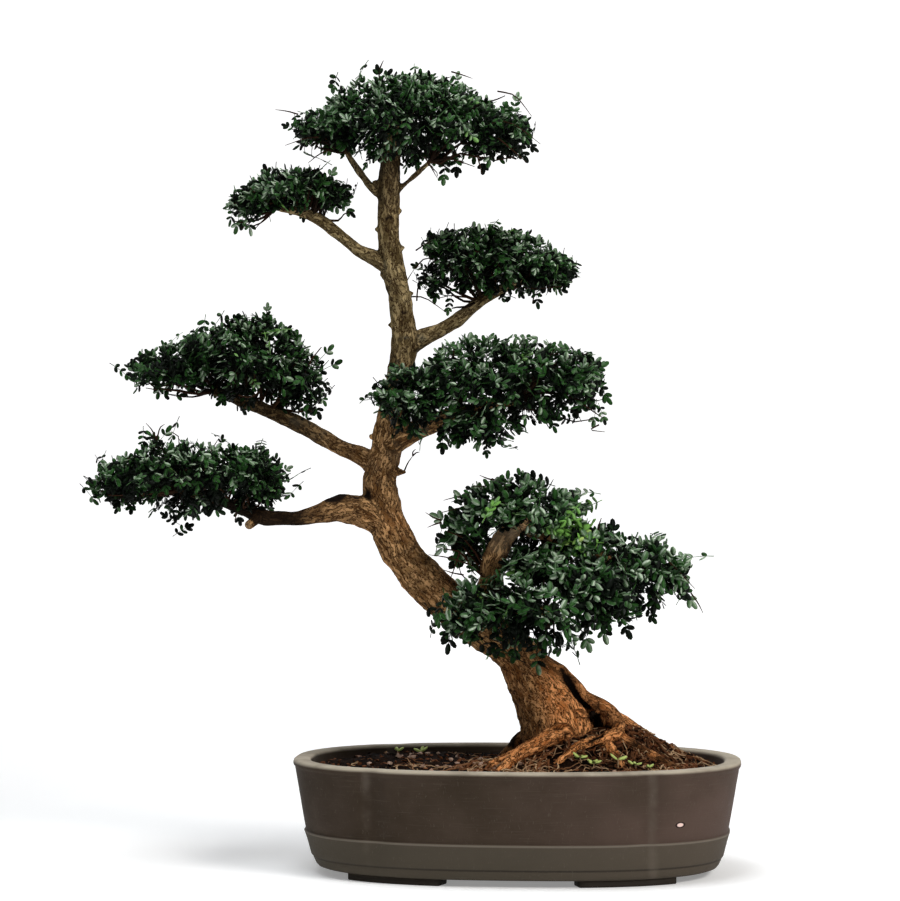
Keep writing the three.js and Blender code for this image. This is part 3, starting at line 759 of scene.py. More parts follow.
litter = {
    # [count, half size low, high, flatness, tone low, high, tilt, region] of crumbs, bark chips and stones;
    # a region is [x, y, spread x, spread y] in millimetres from the pot's middle
    "scattered": [
        [560, 1.0, 2.4, 0.7, 0.00, 0.35, 0.3, None],
        [260, 1.6, 3.6, 0.22, 0.25, 0.60, 0.6, None],
        [520, 1.8, 4.4, 0.22, 0.00, 0.50, 0.9, [138, -28, 48, 40]],
        [150, 1.4, 3.2, 0.30, 0.45, 0.80, 0.7, [10, -50, 60, 40]],
        [46, 2.2, 4.2, 0.7, 0.72, 0.95, 0.4, [-70, 20, 90, 90]],
        [26, 1.8, 3.0, 0.7, 0.75, 0.95, 0.4, [172, -10, 26, 50]],
    ],
    # [count, length low, high, radius low, high, tone low, high, lift, heading, spread of heading, region]
    # of fine roots and straw, lengths in millimetres and headings in degrees
    "strands": [
        [80, 24, 62, 0.8, 1.9, 0.08, 0.40, 3.0, -28, 42, [122, -14, 26, 30]],
        [170, 16, 42, 0.4, 0.9, 0.45, 0.95, 4.0, -30, 80, [136, -28, 40, 36]],
        [120, 18, 52, 0.4, 0.9, 0.45, 0.95, 2.5, 200, 80, [4, -54, 40, 30]],
        [60, 14, 40, 0.35, 0.8, 0.45, 0.90, 1.6, 0, 180, [-60, 0, 110, 80]],
        [26, 26, 54, 1.0, 2.0, 0.30, 0.60, 2.0, 215, 40, [14, -46, 18, 16]],
    ],
    # [x, y, height, leaf size, number of leaves] of each seedling, in millimetres
    "seedlings": [[68, -72, 5, 9, 4], [80, -76, 5, 8, 5], [104, -72, 8, 11, 2], [122, -70, 5, 8, 4],
                  [133, -68, 4, 7, 3], [-104, 72, 5, 9, 3], [-128, 70, 4, 8, 3]],
    # half reach of litter that lies everywhere, its gap to the wall, how knocked about it is, its rise
    "everywhere": (0.205, 0.133), "wallGap": 0.004, "knock": 0.22, "rise": 0.3,
    # a strand's gap to the wall, its rows, how its heading drifts, its height shakes and its radius tapers
    "strandGap": 0.003, "strandSteps": 9, "drift": 0.42, "shake": 0.25, "taper": 0.45,
}


def insetAt(x, y):
    # how far a place is from the rim: the inset whose outline passes through it, found by halving
    low, high = np.zeros(x.shape), np.full(x.shape, pot["ringInset"])
    for step in range(18):
        middle = (low + high) / 2
        level = (np.abs(x) / (pot["length"] / 2 - middle)) ** pot["power"] \
            + (np.abs(y) / (pot["width"] / 2 - middle)) ** pot["power"]
        low, high = np.where(level < 1, middle, low), np.where(level < 1, high, middle)
    return low


def scatteredPlaces(count, region, rng):
    # random places on the soil: all over it, or gathered round a region's middle
    if region is None:
        place = rng.uniform(-1, 1, (count, 2)) * litter["everywhere"]
    else:
        x, y, spreadX, spreadY = np.array(region) * millimetre
        place = [x, y] + rng.standard_normal((count, 2)) * [spreadX, spreadY]
    return place[insetAt(*place.T) > soilInset(soil["edge"]) + litter["wallGap"]]


def turnedAbout(points, tilt, heading):
    # each row of points tipped about X by its tilt, then turned about Z by its heading
    c, s = np.cos(tilt)[:, None], np.sin(tilt)[:, None]
    x, y, z = np.moveaxis(points, -1, 0)
    y, z = y * c - z * s, y * s + z * c
    c, s = np.cos(heading)[:, None], np.sin(heading)[:, None]
    return np.stack([x * c - y * s, x * s + y * c, z], axis=-1)


def makeLitter():
    # knocked-about balls, flattened and tipped, lie on the soil
    rng = np.random.default_rng(8)
    ball, faces = ballShell()
    pile = Pile()
    for count, small, large, flat, toneLow, toneHigh, tilt, region in litter["scattered"]:
        place = scatteredPlaces(count, region, rng)
        count = len(place)
        size = rng.uniform(small, large, (count, 3)) * millimetre * [1, 0.75, flat]
        shape = 1 + litter["knock"] * rng.standard_normal((count, len(ball), 1))
        shape = ball[None] * shape * size[:, None]
        shape = turnedAbout(shape, tilt * rng.standard_normal(count), rng.uniform(0, 2 * math.pi, count))
        height = soilHeight(*place.T, insetAt(*place.T)) + size[:, 0] * litter["rise"]
        shape += np.column_stack([place, height])[:, None] + potCentre
        tones = np.repeat(rng.uniform(toneLow, toneHigh, count), 3 * len(ball))
        pile.addMany(shape, np.empty((0, 4), int), faces, tones)
    pile.piece("soilLitter", grit, "soil", smooth=False)


def makeStrands():
    # each strand wanders over the soil: its heading drifts along it and it lifts off in low waves
    rng = np.random.default_rng(19)
    pile = Pile()
    steps = litter["strandSteps"]
    for row in litter["strands"]:
        count, short, long, thin, thick, toneLow, toneHigh, lift, heading, spread, region = row
        start = scatteredPlaces(count, region, rng)
        count = len(start)
        stride = rng.uniform(short, long, count)[:, None] * millimetre / (steps - 1)
        way = np.radians(heading + spread * rng.standard_normal(count))[:, None]
        way = way + np.cumsum(litter["drift"] * rng.standard_normal((count, steps)), axis=1)
        x = start[:, :1] + np.cumsum(np.cos(way) * stride, axis=1)
        y = start[:, 1:] + np.cumsum(np.sin(way) * stride, axis=1)
        inset = insetAt(x, y)
        kept = inset.min(axis=1) > soilInset(soil["edge"]) + litter["strandGap"]
        x, y, inset = x[kept], y[kept], inset[kept]
        wave = np.sin(np.linspace(0, math.pi, steps)) * rng.uniform(0, 1, (len(x), 1)) \
            + litter["shake"] * rng.standard_normal((len(x), steps))
        z = soilHeight(x, y, inset) + wave * lift * millimetre
        radius = rng.uniform(thin, thick, (len(x), 1)) * millimetre * np.linspace(1, litter["taper"], steps)
        pile.addBars(np.stack([x, y, z], axis=-1) + potCentre, radius, 5,
                     rng.uniform(toneLow, toneHigh, len(x)))
    pile.piece("fineRoots", fibre, "soil")


makeLitter()
makeStrands()
print("soil made")


# Wood: every limb is a list of [x, y, z, radius] along its middle, in millimetres from the pot's middle

wood = {
    "voxel": 0.0018, "ridges": 0.00091, "wrinkles": 0.0007, "shade": (0.42, 0.2), "paintedGrooveShade": 200,
    # [cell, seed, share of the limb's radius, most] of its lumps and its knobs, and the least of both
    "swellings": [[0.030, 51, 0.07, 0.0022], [0.013, 55, 0.075, 0.0011]], "least": 0.0003,
    "trunk": [
        [44, 8, 62, 34], [44, 8, 92, 35], [42, 8, 124, 34], [39.5, 8, 150, 36], [29, 8, 171, 31.5],
        [14, 6, 194, 26.5], [-4, 4, 220, 21], [-37, 2, 245, 21], [-73, 0, 273, 20.5], [-111, 0, 310, 19],
        [-129, 2, 342, 18.5], [-138, 4, 373, 17.5], [-139, 4, 397, 16.5], [-132, 3, 427, 15],
        [-124, 0, 464, 15], [-117, -3, 506, 13.5], [-114, -5, 536, 12.5], [-119, -7, 576, 11],
        [-125, -8, 610, 11], [-129, -9, 640, 10.5], [-129, -10, 676, 11], [-127, -12, 713, 10.5],
        [-124, -12, 740, 8], [-120, -12, 766, 5],
    ],
    "boughs": {
        "lowLeft": [
            [-130, 2, 345, 14], [-150, -2, 358, 16], [-167, -4, 363, 15], [-184, -8, 363, 12.5],
            [-214, -14, 355, 8], [-235, -16, 354, 7.3], [-257, -18, 356, 8.3], [-276, -18, 363, 6.5],
            [-305, -18, 373, 5], [-340, -16, 383, 4]],
        "midLeft": [
            [-130, 4, 398, 13], [-157, 8, 416, 9.6], [-178, 12, 424, 8.3], [-202, 16, 437, 8],
            [-226, 20, 450, 8], [-254, 22, 462, 7], [-280, 24, 472, 6], [-312, 26, 483, 4.5]],
        "upperLeft": [
            [-122, -8, 603, 9], [-142, -9, 616, 7.5], [-160, -11, 625, 5.9], [-181, -13, 642, 5.9],
            [-198, -14, 655, 6], [-214, -15, 662, 5], [-240, -16, 668, 3.5]],
        "upperRight": [
            [-120, -3, 520, 11], [-99, 2, 535, 9], [-79, 8, 544, 7], [-58, 14, 558, 7], [-40, 19, 573, 6],
            [-18, 22, 586, 5], [8, 24, 596, 3.5]],
        "midRight": [
            [-128, 0, 430, 13], [-97, -14, 444, 10], [-66, -20, 456, 8.6], [-31, -22, 466, 6.6],
            [4, -22, 475, 4.5]],
        "lowRight": [
            [-46, 0, 250, 16], [-26, -28, 283, 13], [-20, -42, 313, 11], [-10, -46, 336, 10],
            [3, -44, 346, 9], [25, -38, 343, 8], [60, -30, 328, 6.5], [95, -24, 313, 4.5]],
        "lowFront": [
            [-36, -10, 262, 12], [-15, -46, 268, 9], [12, -66, 264, 7], [38, -72, 266, 4.5]],
        "crownLeft": [
            [-128, -9, 676, 6], [-142, -12, 684, 4.2], [-152, -14, 695, 3.4], [-162, -16, 709, 3.2],
            [-172, -18, 724, 2.4]],
        "crownRight": [
            [-126, -9, 680, 4], [-113, -14, 690, 2.8], [-100, -20, 700, 2.5], [-86, -25, 712, 2.2]],
        "thornRight": [[-130, 2, 404, 6], [-119, 1, 401, 3.4], [-112, 1, 400.5, 1.2]],
        "thornLow": [[-88, 0, 279, 5], [-97, 0, 274, 2.6], [-104, 0, 270.5, 1]],
        "sawnStub": [[-256, -18, 358, 6], [-264, -30, 351, 5], [-268, -37, 347, 4.6]],
    },
    "roots": [
        [[24, 2, 208, 10], [40, 0, 200, 8.5], [49, -2, 194, 7.5], [57, -4, 187, 7], [66, -6, 176, 7],
         [79, -8, 169, 7.5], [91, -10, 163, 7.5], [99, -13, 154, 7.5], [104, -18, 145, 7]],
        [[103, -14, 149, 7], [101, -26, 141, 6.5], [89, -36, 137.5, 5.5], [75.5, -46, 134, 5],
         [64, -54, 130, 4.6], [54.5, -62, 124, 4.2], [42, -72, 112, 3.6]],
        [[22, 14, 200, 16], [48, 20, 174, 17], [74, 22, 149, 16], [104, 24, 130, 12], [134, 28, 116, 8]],
        [[88, 6, 156, 10], [108, 6, 146, 8.5], [128, 8, 134, 7], [150, 8, 123, 5.5], [172, 8, 113, 4.5],
         [190, 8, 104, 3.5]],
        [[48, -18, 138, 12], [43.5, -34, 140, 9.5], [32, -48, 137, 8.5], [21.5, -58, 131, 7.5],
         [5.5, -68, 123, 6], [-5, -80, 114, 4.8], [-14, -92, 105, 3.5]],
        [[30, 14, 134, 15], [6, 26, 128, 9.5], [-6, 36, 118, 7.5], [-20, 46, 106, 5.5]],
        [[26, -22, 126, 10], [0, -42, 120, 5.5], [-24, -60, 111, 3.8]],
        [[100, 28, 134, 9], [126, 44, 121, 6], [150, 58, 106, 4]],
        [[96, -18, 138, 9], [122, -32, 127, 6], [146, -44, 116, 4.5], [168, -54, 104, 3.5]],
        [[86, -22, 132, 9], [100, -48, 121, 5.5], [110, -68, 107, 4]],
        [[76, 0, 166, 4.5], [84, -4, 150, 5.5], [83, -9, 141, 6.5], [82, -12, 128, 6]],
        [[60, -18, 160, 3], [71, -18, 157, 2], [82, -16, 160, 2.5]],
    ],
    # [span along the trunk's list, angle round it in degrees, length in millimetres]
    "thorns": [
        [20.4, 200, 6], [19.6, 20, 6], [19.1, 190, 5], [18.5, 350, 5.5], [17.6, 170, 6], [17.1, 30, 5],
        [16.3, 185, 5], [15.6, 340, 5], [14.7, 160, 5.5], [14.2, 20, 6], [13.2, 200, 5],
    ],
    # grooves in the front as lists of [x, z, radius, depth] in millimetres, darkened by their depth as
    # painted
    # shade: the gap between the bulb and the ridge root, the dark crook of the lowest bough, the fold over
    # the front root
    "grooves": [
        [[46, 201, 3, 2], [49, 194, 4.5, 3], [54, 185, 4.5, 3.5], [62, 175, 4, 3.5], [69, 166, 4, 4],
         [76, 156, 6, 6], [83, 148, 8, 8], [82, 140, 5, 5], [76, 134, 4, 3]],
        [[-168, 376, 4, 2], [-160, 379, 5, 3], [-152, 381, 4, 2]],
        [[34, 147, 2.5, 2], [44, 149, 3, 3], [51, 144, 3, 3], [53, 134, 4, 4], [48, 126, 4, 3]],
    ],
    # [x, y, z, radius] along the shaded ridge root, in millimetres
    "shaded": [[48, -6, 200, 12], [62, -8, 188, 13], [79, -10, 172, 13], [94, -14, 162, 12],
               [103, -18, 150, 10]],
    # [x, y, z, radius, strength] in millimetres: positive is a pale scar; negative darkens, as painted
    # shade on the left boughs, on the trunk under the crown and in the hollows by the bulb, and as dark
    # patches and spots elsewhere
    "scarsAndShade": [
        [-268, -38, 347, 8, 1.0], [-17, -22, 213, 9, 0.7], [-8, -30, 181, 7, 0.5],
        [-184, -10, 378, 15, -1.0], [-102, -26, 458, 9, 0.4], [-150, -8, 375, 8, -0.6],
        [-176, -12, 362, 36, -0.3], [-12, -52, 334, 24, 0.34], [10, -50, 346, 20, 0.30],
        [-250, -16, 360, 66, -0.7], [-320, -16, 378, 60, -0.6], [-235, 18, 452, 60, -0.4],
        [-310, 24, 482, 60, -0.5], [-128, -10, 705, 60, -0.4], [-8, 28, 130, 16, -0.7],
        [80, 14, 150, 19, -0.8], [54, 4, 190, 9, -0.6], [-130, -20, 656, 3, -0.6],
        [-126, -20, 657, 3, -0.5], [-132, -19, 592, 3.5, -0.6], [-127, -19, 592, 3, -0.6],
        [-114, -17, 561, 3.5, -0.6], [-110, -16, 562, 3, -0.5], [-118, -17, 534, 3.5, -0.5],
        [124, -34, 127, 22, -0.6], [152, -48, 112, 22, -0.6], [103, -54, 116, 13, -0.6],
        [136, 0, 128, 24, -0.45], [168, 4, 114, 26, -0.5], [-4, -34, 172, 5, 0.5],
        [-12, -34, 160, 4, -0.7],
    ],
}


def inPlace(path):
    # a list's rows in metres, at the pot
    rows = np.asarray(path, float) * millimetre
    rows[:, :3] += potCentre
    return rows


def limbPaths():
    # the middle lines of the trunk, the boughs and the roots
    return [inPlace(path) for path in [wood["trunk"], *wood["boughs"].values(), *wood["roots"]]]


def thornPath(span, degrees, length):
    # a short spike that leaves the trunk's middle and stands out of its skin
    trunk = wood["trunk"]
    rows = curveThrough(inPlace(trunk), 400)
    foot = rows[int(span / (len(trunk) - 1) * 399)]
    turn = math.radians(degrees)
    out = np.array([math.cos(turn), math.sin(turn), 0.25])
    # how far beyond the skin, and the radius there
    stands = ((-0.004, 0.0036), (0.001, 0.0026), (length * millimetre, 0.0006))
    return [[*(foot[:3] + out * (foot[3] + reach)), radius] for reach, radius in stands]


def grainPlaces(points):
    # for each point: its nearest limb, measured in that limb's own radii, and there the place across
    # the limb, the place along it, and the limb's radius
    best = np.full(len(points), np.inf)
    grain = np.zeros((len(points), 3))
    thickness = np.zeros(len(points))
    for k, path in enumerate(limbPaths()):
        rows = curveThrough(path, 14 * len(path))
        middles, radii = rows[:, :3], rows[:, 3]
        along, side, across = pathFrame(middles)
        length = np.concatenate([[0], np.cumsum(np.linalg.norm(np.diff(middles, axis=0), axis=1))])
        for part in np.array_split(np.arange(len(points)), 12):
            offset = points[part][:, None] - middles[None]
            reach = np.linalg.norm(offset, axis=2) / radii[None]
            near = reach.argmin(axis=1)
            closest = reach[np.arange(len(part)), near]
            nearer = closest < best[part]
            chosen, spot = part[nearer], near[nearer]
            away = points[chosen] - middles[spot]
            grain[chosen] = np.column_stack([
                (away * side[spot]).sum(axis=1), (away * across[spot]).sum(axis=1),
                length[spot] + (away * along[spot]).sum(axis=1) + 0.37 * k])
            thickness[chosen] = radii[spot]
            best[chosen] = closest[nearer]
    return grain, thickness


def grooveDepths(points):
    # how deep each point is pressed in: a groove runs over the foremost skin at its places
    depths = np.zeros(len(points))
    ragged = layeredNoise(points, 0.007, 91, 2) * 0.0018
    for path in wood["grooves"]:
        for x, z, radius, depth in curveThrough(np.array(path) * millimetre, len(path) * 5):
            flat = np.hypot(points[:, 0] - potCentre[0] - x, points[:, 2] - z)
            front = points[flat < 0.003, 1].min()
            reach = np.hypot(flat, (points[:, 1] - front) * 0.6) + ragged
            depths = np.maximum(depths, depth * (1 - easeBetween(reach, radius * 0.3, radius * 1.2)))
    return depths


def woodWarmthAndLight(places):
    # 1 is vivid orange: the roots in front, and the bulb's right half, brighter there as painted light from
    #                    the
    # right. The trunk is brown, its top olive tan
    x, y, z = places.T
    right, front = easeBetween(x + (z - 0.15) * 0.2, 0.012, 0.052), easeBetween(-y, 0.032, 0.05)
    lower = 0.66 + 0.34 * np.maximum(right, front)
    upper = 0.52 - easeBetween(z, 0.36, 0.56) * 0.47
    return lower + (upper - lower) * easeBetween(z, 0.19, 0.25)


def makeWood():
    # round bars merged by voxels, then pushed out along their normals by swellings and by ridged noise,
    # 1 less twice the noise's size, stretched along the grain. Scars and painted shade are a sum of soft
    # balls, the grooves add painted shade by their depth, and the shaded root takes the strongest of those
    # along its path
    pile = Pile()
    for path in limbPaths():
        pile.addTube(path, 20, 8 * len(path))
    for thorn in wood["thorns"]:
        pile.addTube(thornPath(*thorn), 8, 6)
    piece = makePiece("treeWood", *pile.gathered()[:3])
    merge = piece.modifiers.new("merge", "REMESH")
    merge.mode, merge.voxel_size = "VOXEL", wood["voxel"]
    applied(piece)
    points, normals = pointArrays(piece.data)
    grain, thickness = grainPlaces(points)
    swollen = sum(layeredNoise(points, cell, seed, 2) * np.clip(thickness * share, wood["least"], most)
                  for cell, seed, share, most in wood["swellings"])
    ridge = 1 - 2 * np.abs(layeredNoise(grain * [1, 1, 0.42], 0.0095, 61, 3))
    wrinkle = 1 - 2 * np.abs(layeredNoise(grain * [1, 1, 0.5], 0.0052, 71, 2))
    depth = np.clip(thickness / 0.02, 0.3, 1)
    push = swollen + depth * (ridge * wood["ridges"] + wrinkle * wood["wrinkles"])
    pressed = grooveDepths(points)
    points += normals * (push - pressed)[:, None]
    piece.data.vertices.foreach_set("co", points.astype(np.float32).ravel())
    warmth = woodWarmthAndLight(points - potCentre) + layeredNoise(points, 0.05, 81, 2) * 0.12
    # the grooves are darkened by their depth: painted shade
    scarAndShade = -pressed * wood["paintedGrooveShade"]
    for x, y, z, radius, strength in wood["scarsAndShade"]:
        middle = np.array([x, y, z]) * millimetre + potCentre
        reach = np.linalg.norm(points - middle, axis=1)
        scarAndShade += strength * (1 - easeBetween(reach, radius * 0.4 * millimetre, radius * millimetre))
    shaded = np.zeros(len(points))
    for row in curveThrough(inPlace(wood["shaded"]), 24):
        reach = np.linalg.norm(points - row[:3], axis=1)
        shaded = np.maximum(shaded, 1 - easeBetween(reach, row[3] * 0.6, row[3] * 1.3))
    depth, unevenness = wood["shade"]
    scarAndShade -= shaded * (depth + unevenness * layeredNoise(points, 0.008, 93, 2))
    keepValues(piece.data, "grain", grain)
    keepValues(piece.data, "tint", np.column_stack([np.clip(warmth, 0, 1), ridge, scarAndShade]))
    piece.data.polygons.foreach_set("use_smooth", np.ones(len(piece.data.polygons), bool))
    settle(piece, bark, "tree_wood")


makeWood()
print("wood made")


# Leaves: a leaf is a rib with two or three pairs of leaflets and an end one

leaf = {
    "length": 0.031, "leafletLength": 0.0092, "leafletWidth": 0.0050, "thickness": 0.0002,
    "fold": 0.22, "arch": 0.10, "pairAngle": 55, "size": (0.80, 1.20), "droop": 0.20,
    # places along a leaflet as shares of its length, and its half widths there as shares of its width
    "full": ([0.18, 0.52, 0.86], [0.36, 0.5, 0.37]), "plain": ([0.30, 0.80], [0.44, 0.44]),
    "seedling": ([0.16, 0.5, 0.86], [0.34, 0.50, 0.36]), "outerPairs": (2, 3, 3, 3), "innerPairs": (2, 3),
    # share of a pad's leaves in its outer and inner layer, and the levels that the layer lies between
    "outer": (0.64, 0.9, 1.04), "inner": (0.36, 0.5, 0.9), "tries": 6, "bumps": 0.10, "bumpCell": 0.022,
    "youngShare": 0.8, "brightShare": 0.012, "clearedTo": -40,
}
# Each pad: the CAD node it replaces, its number of leaves, their size, how much lighter than the others
# they are, the boughs that carry it, its lobes as [x, y, z, half length, half depth, half height, density],
# single leaves at its edge as [x, z, degrees up from +X], patches of young leaves as [x, z, radius], and
# places in front where leaves are left out and bare wood shows, as [x, z, radius]; lengths in millimetres
# from the pot's middle
pads = {
    "crownPad": {
        "node": "leaves_crown", "leaves": 1010, "size": 0.84, "lighter": 0.05,
        "boughs": ["trunk", "crownLeft", "crownRight"],
        "lobes": [[-112, -12, 754, 89, 70, 48, 1], [-100, -10, 777, 55, 50, 29, 1],
                  [-182, -14, 746, 45, 48, 26, 1], [-30, -8, 744, 48, 50, 34, 0.8]],
        "sprigs": [[-142, 811, 110], [-128, 808, 70], [3, 781, 60], [22, 724, -35], [12, 712, -50],
                   [-33, 702, -75], [-60, 698, -90], [-75, 691, -100], [-238, 753, 175], [-228, 730, 200],
                   [-60, 806, 80]],
    },
    "upperLeftPad": {
        "node": "leaves_upper_left", "leaves": 400, "size": 0.84, "lighter": 0.1,
        "boughs": ["upperLeft"],
        "lobes": [[-226, -16, 687, 46, 46, 24, 0.9], [-264, -16, 676, 27, 34, 17, 0.6],
                  [-190, -14, 681, 26, 32, 19, 0.7]],
        "sprigs": [[-293, 650, -125], [-287, 643, -110], [-280, 646, -100], [-270, 640, -95],
                   [-164, 662, -30], [-179, 706, 45], [-257, 711, 110], [-216, 654, -90],
                   [-296, 668, 190], [-200, 707, 70]],
    },
    "upperRightPad": {
        "node": "leaves_upper_right", "leaves": 620, "size": 0.84, "lighter": 0.03,
        "boughs": ["upperRight"],
        "lobes": [[-26, 20, 614, 66, 56, 39, 1], [22, 24, 606, 37, 42, 27, 1],
                  [-66, 16, 629, 32, 40, 20, 0.8], [-84, 12, 600, 22, 26, 22, 0.22]],
        "sprigs": [[-110, 613, 175], [-93, 647, 120], [59, 612, -10], [-47, 655, 95], [-86, 572, -110],
                   [50, 590, -60], [-104, 600, 190], [-72, 560, -100], [20, 566, -80]],
    },
    "midLeftPad": {
        "node": "leaves_mid_left", "leaves": 720, "size": 0.88, "boughs": ["midLeft"],
        "lobes": [[-274, 22, 511, 66, 62, 47, 1], [-272, 20, 538, 38, 40, 29, 1],
                  [-350, 24, 507, 50, 46, 27, 1], [-318, 24, 522, 38, 44, 26, 1],
                  [-230, 18, 495, 30, 44, 41, 1]],
        "sprigs": [[-395, 483, 200], [-392, 490, 185], [-256, 573, 70], [-191, 530, 20], [-196, 468, -60],
                   [-201, 455, -70], [-372, 476, -100], [-182, 515, 5], [-300, 560, 95], [-396, 500, 170]],
    },
    "midRightPad": {
        "node": "leaves_mid_right", "leaves": 820, "size": 0.9, "lighter": 0.05,
        "boughs": ["midRight"],
        "lobes": [[-20, -18, 490, 80, 62, 53, 1], [48, -14, 493, 43, 50, 39, 1],
                  [-40, -24, 453, 50, 46, 31, 1], [-100, -46, 474, 42, 30, 40, 1]],
        "sprigs": [[91, 449, -60], [92, 511, 10], [77, 446, -100], [-32, 538, 100], [-73, 420, -90],
                   [-120, 440, -130], [40, 440, -80], [96, 470, -30], [-80, 516, 110], [-30, 415, -95]],
        "young": [[-66, 418, 9]],
    },
    "lowLeftPad": {
        "node": "leaves_low_left", "leaves": 680, "size": 0.86, "lighter": -0.05,
        "boughs": ["lowLeft"],
        "lobes": [[-332, -16, 395, 80, 60, 42, 1], [-400, -14, 388, 33, 42, 27, 1],
                  [-266, -18, 394, 36, 46, 36, 1]],
        "sprigs": [[-434, 387, 185], [-429, 376, 205], [-409, 359, -110], [-229, 408, 10],
                   [-280, 346, -80], [-236, 380, -20], [-345, 350, -95], [-404, 417, 130],
                   [-300, 438, 80], [-374, 443, 150], [-354, 448, 40]],
    },
    "lowRightPad": {
        "node": "leaves_low_right", "leaves": 1060, "size": 1.06, "lighter": 0.10,
        "boughs": ["lowRight", "lowFront"],
        "lobes": [[6, -32, 356, 66, 56, 47, 0.9], [-46, -6, 334, 34, 36, 36, 0.45],
                  [100, -26, 300, 74, 58, 45, 1], [0, -72, 262, 75, 42, 45, 1],
                  [70, -62, 282, 62, 44, 42, 1], [22, -52, 309, 36, 32, 28, 2],
                  [68, -34, 334, 34, 40, 24, 1]],
        "sprigs": [[182, 266, -40], [176, 276, -30], [97, 355, 85], [-85, 361, 165], [-81, 320, 200],
                   [-37, 388, 120], [-12, 397, 90], [64, 381, 20], [91, 229, -75], [116, 234, -60],
                   [23, 199, -90], [-68, 221, -100], [-75, 231, -120], [-78, 340, 180], [-60, 383, 140],
                   [30, 393, 60], [48, 384, 30], [75, 222, -80], [140, 250, -50], [-66, 305, 220],
                   [10, 205, -100]],
        "young": [[64, 348, 26], [-20, 372, 13], [2, 340, 9]],
        "bare": [[-22, 320, 7], [-12, 334, 12], [5, 345, 8]],
    },
}


# Twigs in the pads: rows along each, twigs to a pad, the levels they end between, radii in millimetres at
# foot and tip, and how far they bow and wave as a share of their length
twigs = {
    "steps": 7, "perPad": 34, "levels": (0.6, 0.92), "radii": (1.9, 0.6), "bow": 0.16, "wave": 0.05,
    "bareRadii": (0.0009, 0.0007, 0.0003),
}
# Bare twigs at the pads' edges: depth, then [x, z] of the foot, the bend and the tip, in millimetres
bareTwigs = [
    [-40, [[-135, 803, -133, 808, -131, 812], [-217, 759, -227, 762, -240, 764],
           [-196, 736, -209, 735, -230, 728], [-34, 746, -5, 749, 26, 727], [-17, 734, -5, 724, 12, 709],
           [-17, 780, 1, 775, 17, 755], [-90, 716, -84, 706, -77, 694], [-37, 716, -35, 708, -32, 697],
           [-63, 800, -53, 797, -42, 793], [-186, 723, -197, 718, -207, 710]]],
    [4, [[-115, 401, -111, 410, -106, 417], [-106, 417, -103, 420, -99, 421],
         [-106, 417, -106, 421, -103, 424], [-112, 578, -94, 577, -72, 562],
         [-108, 571, -114, 589, -104, 607], [-104, 607, -93, 617, -78, 613],
         [-102, 574, -100, 589, -88, 600], [-103, 625, -94, 631, -86, 635], [-3, 587, 21, 586, 45, 588]]],
    [10, [[-306, 502, -324, 500, -340, 503], [-340, 503, -352, 505, -368, 512]]],
    [-40, [[69, 468, 80, 460, 88, 455], [84, 448, 76, 443, 90, 441]]],
    [-30, [[-362, 433, -367, 443, -373, 450], [-362, 433, -359, 445, -354, 449],
           [-279, 478, -267, 476, -257, 482], [-417, 393, -429, 393, -437, 397]]],
    [-50, [[-72, 353, -80, 356, -88, 361], [-72, 351, -79, 349, -86, 346], [-20, 393, -27, 395, -34, 398],
           [-22, 388, -31, 387, -41, 387], [-45, 377, -58, 376, -70, 373], [-43, 309, -65, 316, -85, 319],
           [-50, 299, -61, 301, -70, 304], [-54, 321, -58, 309, -65, 290], [154, 312, 166, 300, 179, 286],
           [175, 282, 182, 272, 187, 262]]],
]


def leafletShell(stations, halves):
    # one closed leaflet along X, a low tent: its rib stands over the margins, which meet at both ends
    length, width = leaf["leafletLength"], leaf["leafletWidth"]
    along = np.array(stations)
    half = np.array(halves) * width
    sag = -leaf["arch"] * along ** 2 * length
    points = np.vstack([
        [[0, 0, 0]],
        np.column_stack([along * length, half, sag - leaf["fold"] * half]),
        np.column_stack([along * length, -half, sag - leaf["fold"] * half]),
        np.column_stack([along * length, 0 * half, sag + leaf["thickness"]]),
        [[length, 0, -leaf["arch"] * length]]])
    count = len(along)
    left, right, top, tip = 1, 1 + count, 1 + 2 * count, 1 + 3 * count
    end = count - 1
    triangles = [[0, right, top], [0, top, left], [0, left, right], [right + end, tip, top + end],
                 [top + end, tip, left + end], [left + end, tip, right + end]]
    quads = []
    for k in range(end):
        for first, second in ((right, top), (top, left), (left, right)):
            quads.append([first + k, first + k + 1, second + k + 1, second + k])
    place = np.zeros((len(points), 3))
    place[:, 0] = points[:, 0] / length
    place[left:right, 1], place[right:top, 1] = 1, -1
    return points, np.array(quads), np.array(triangles), place


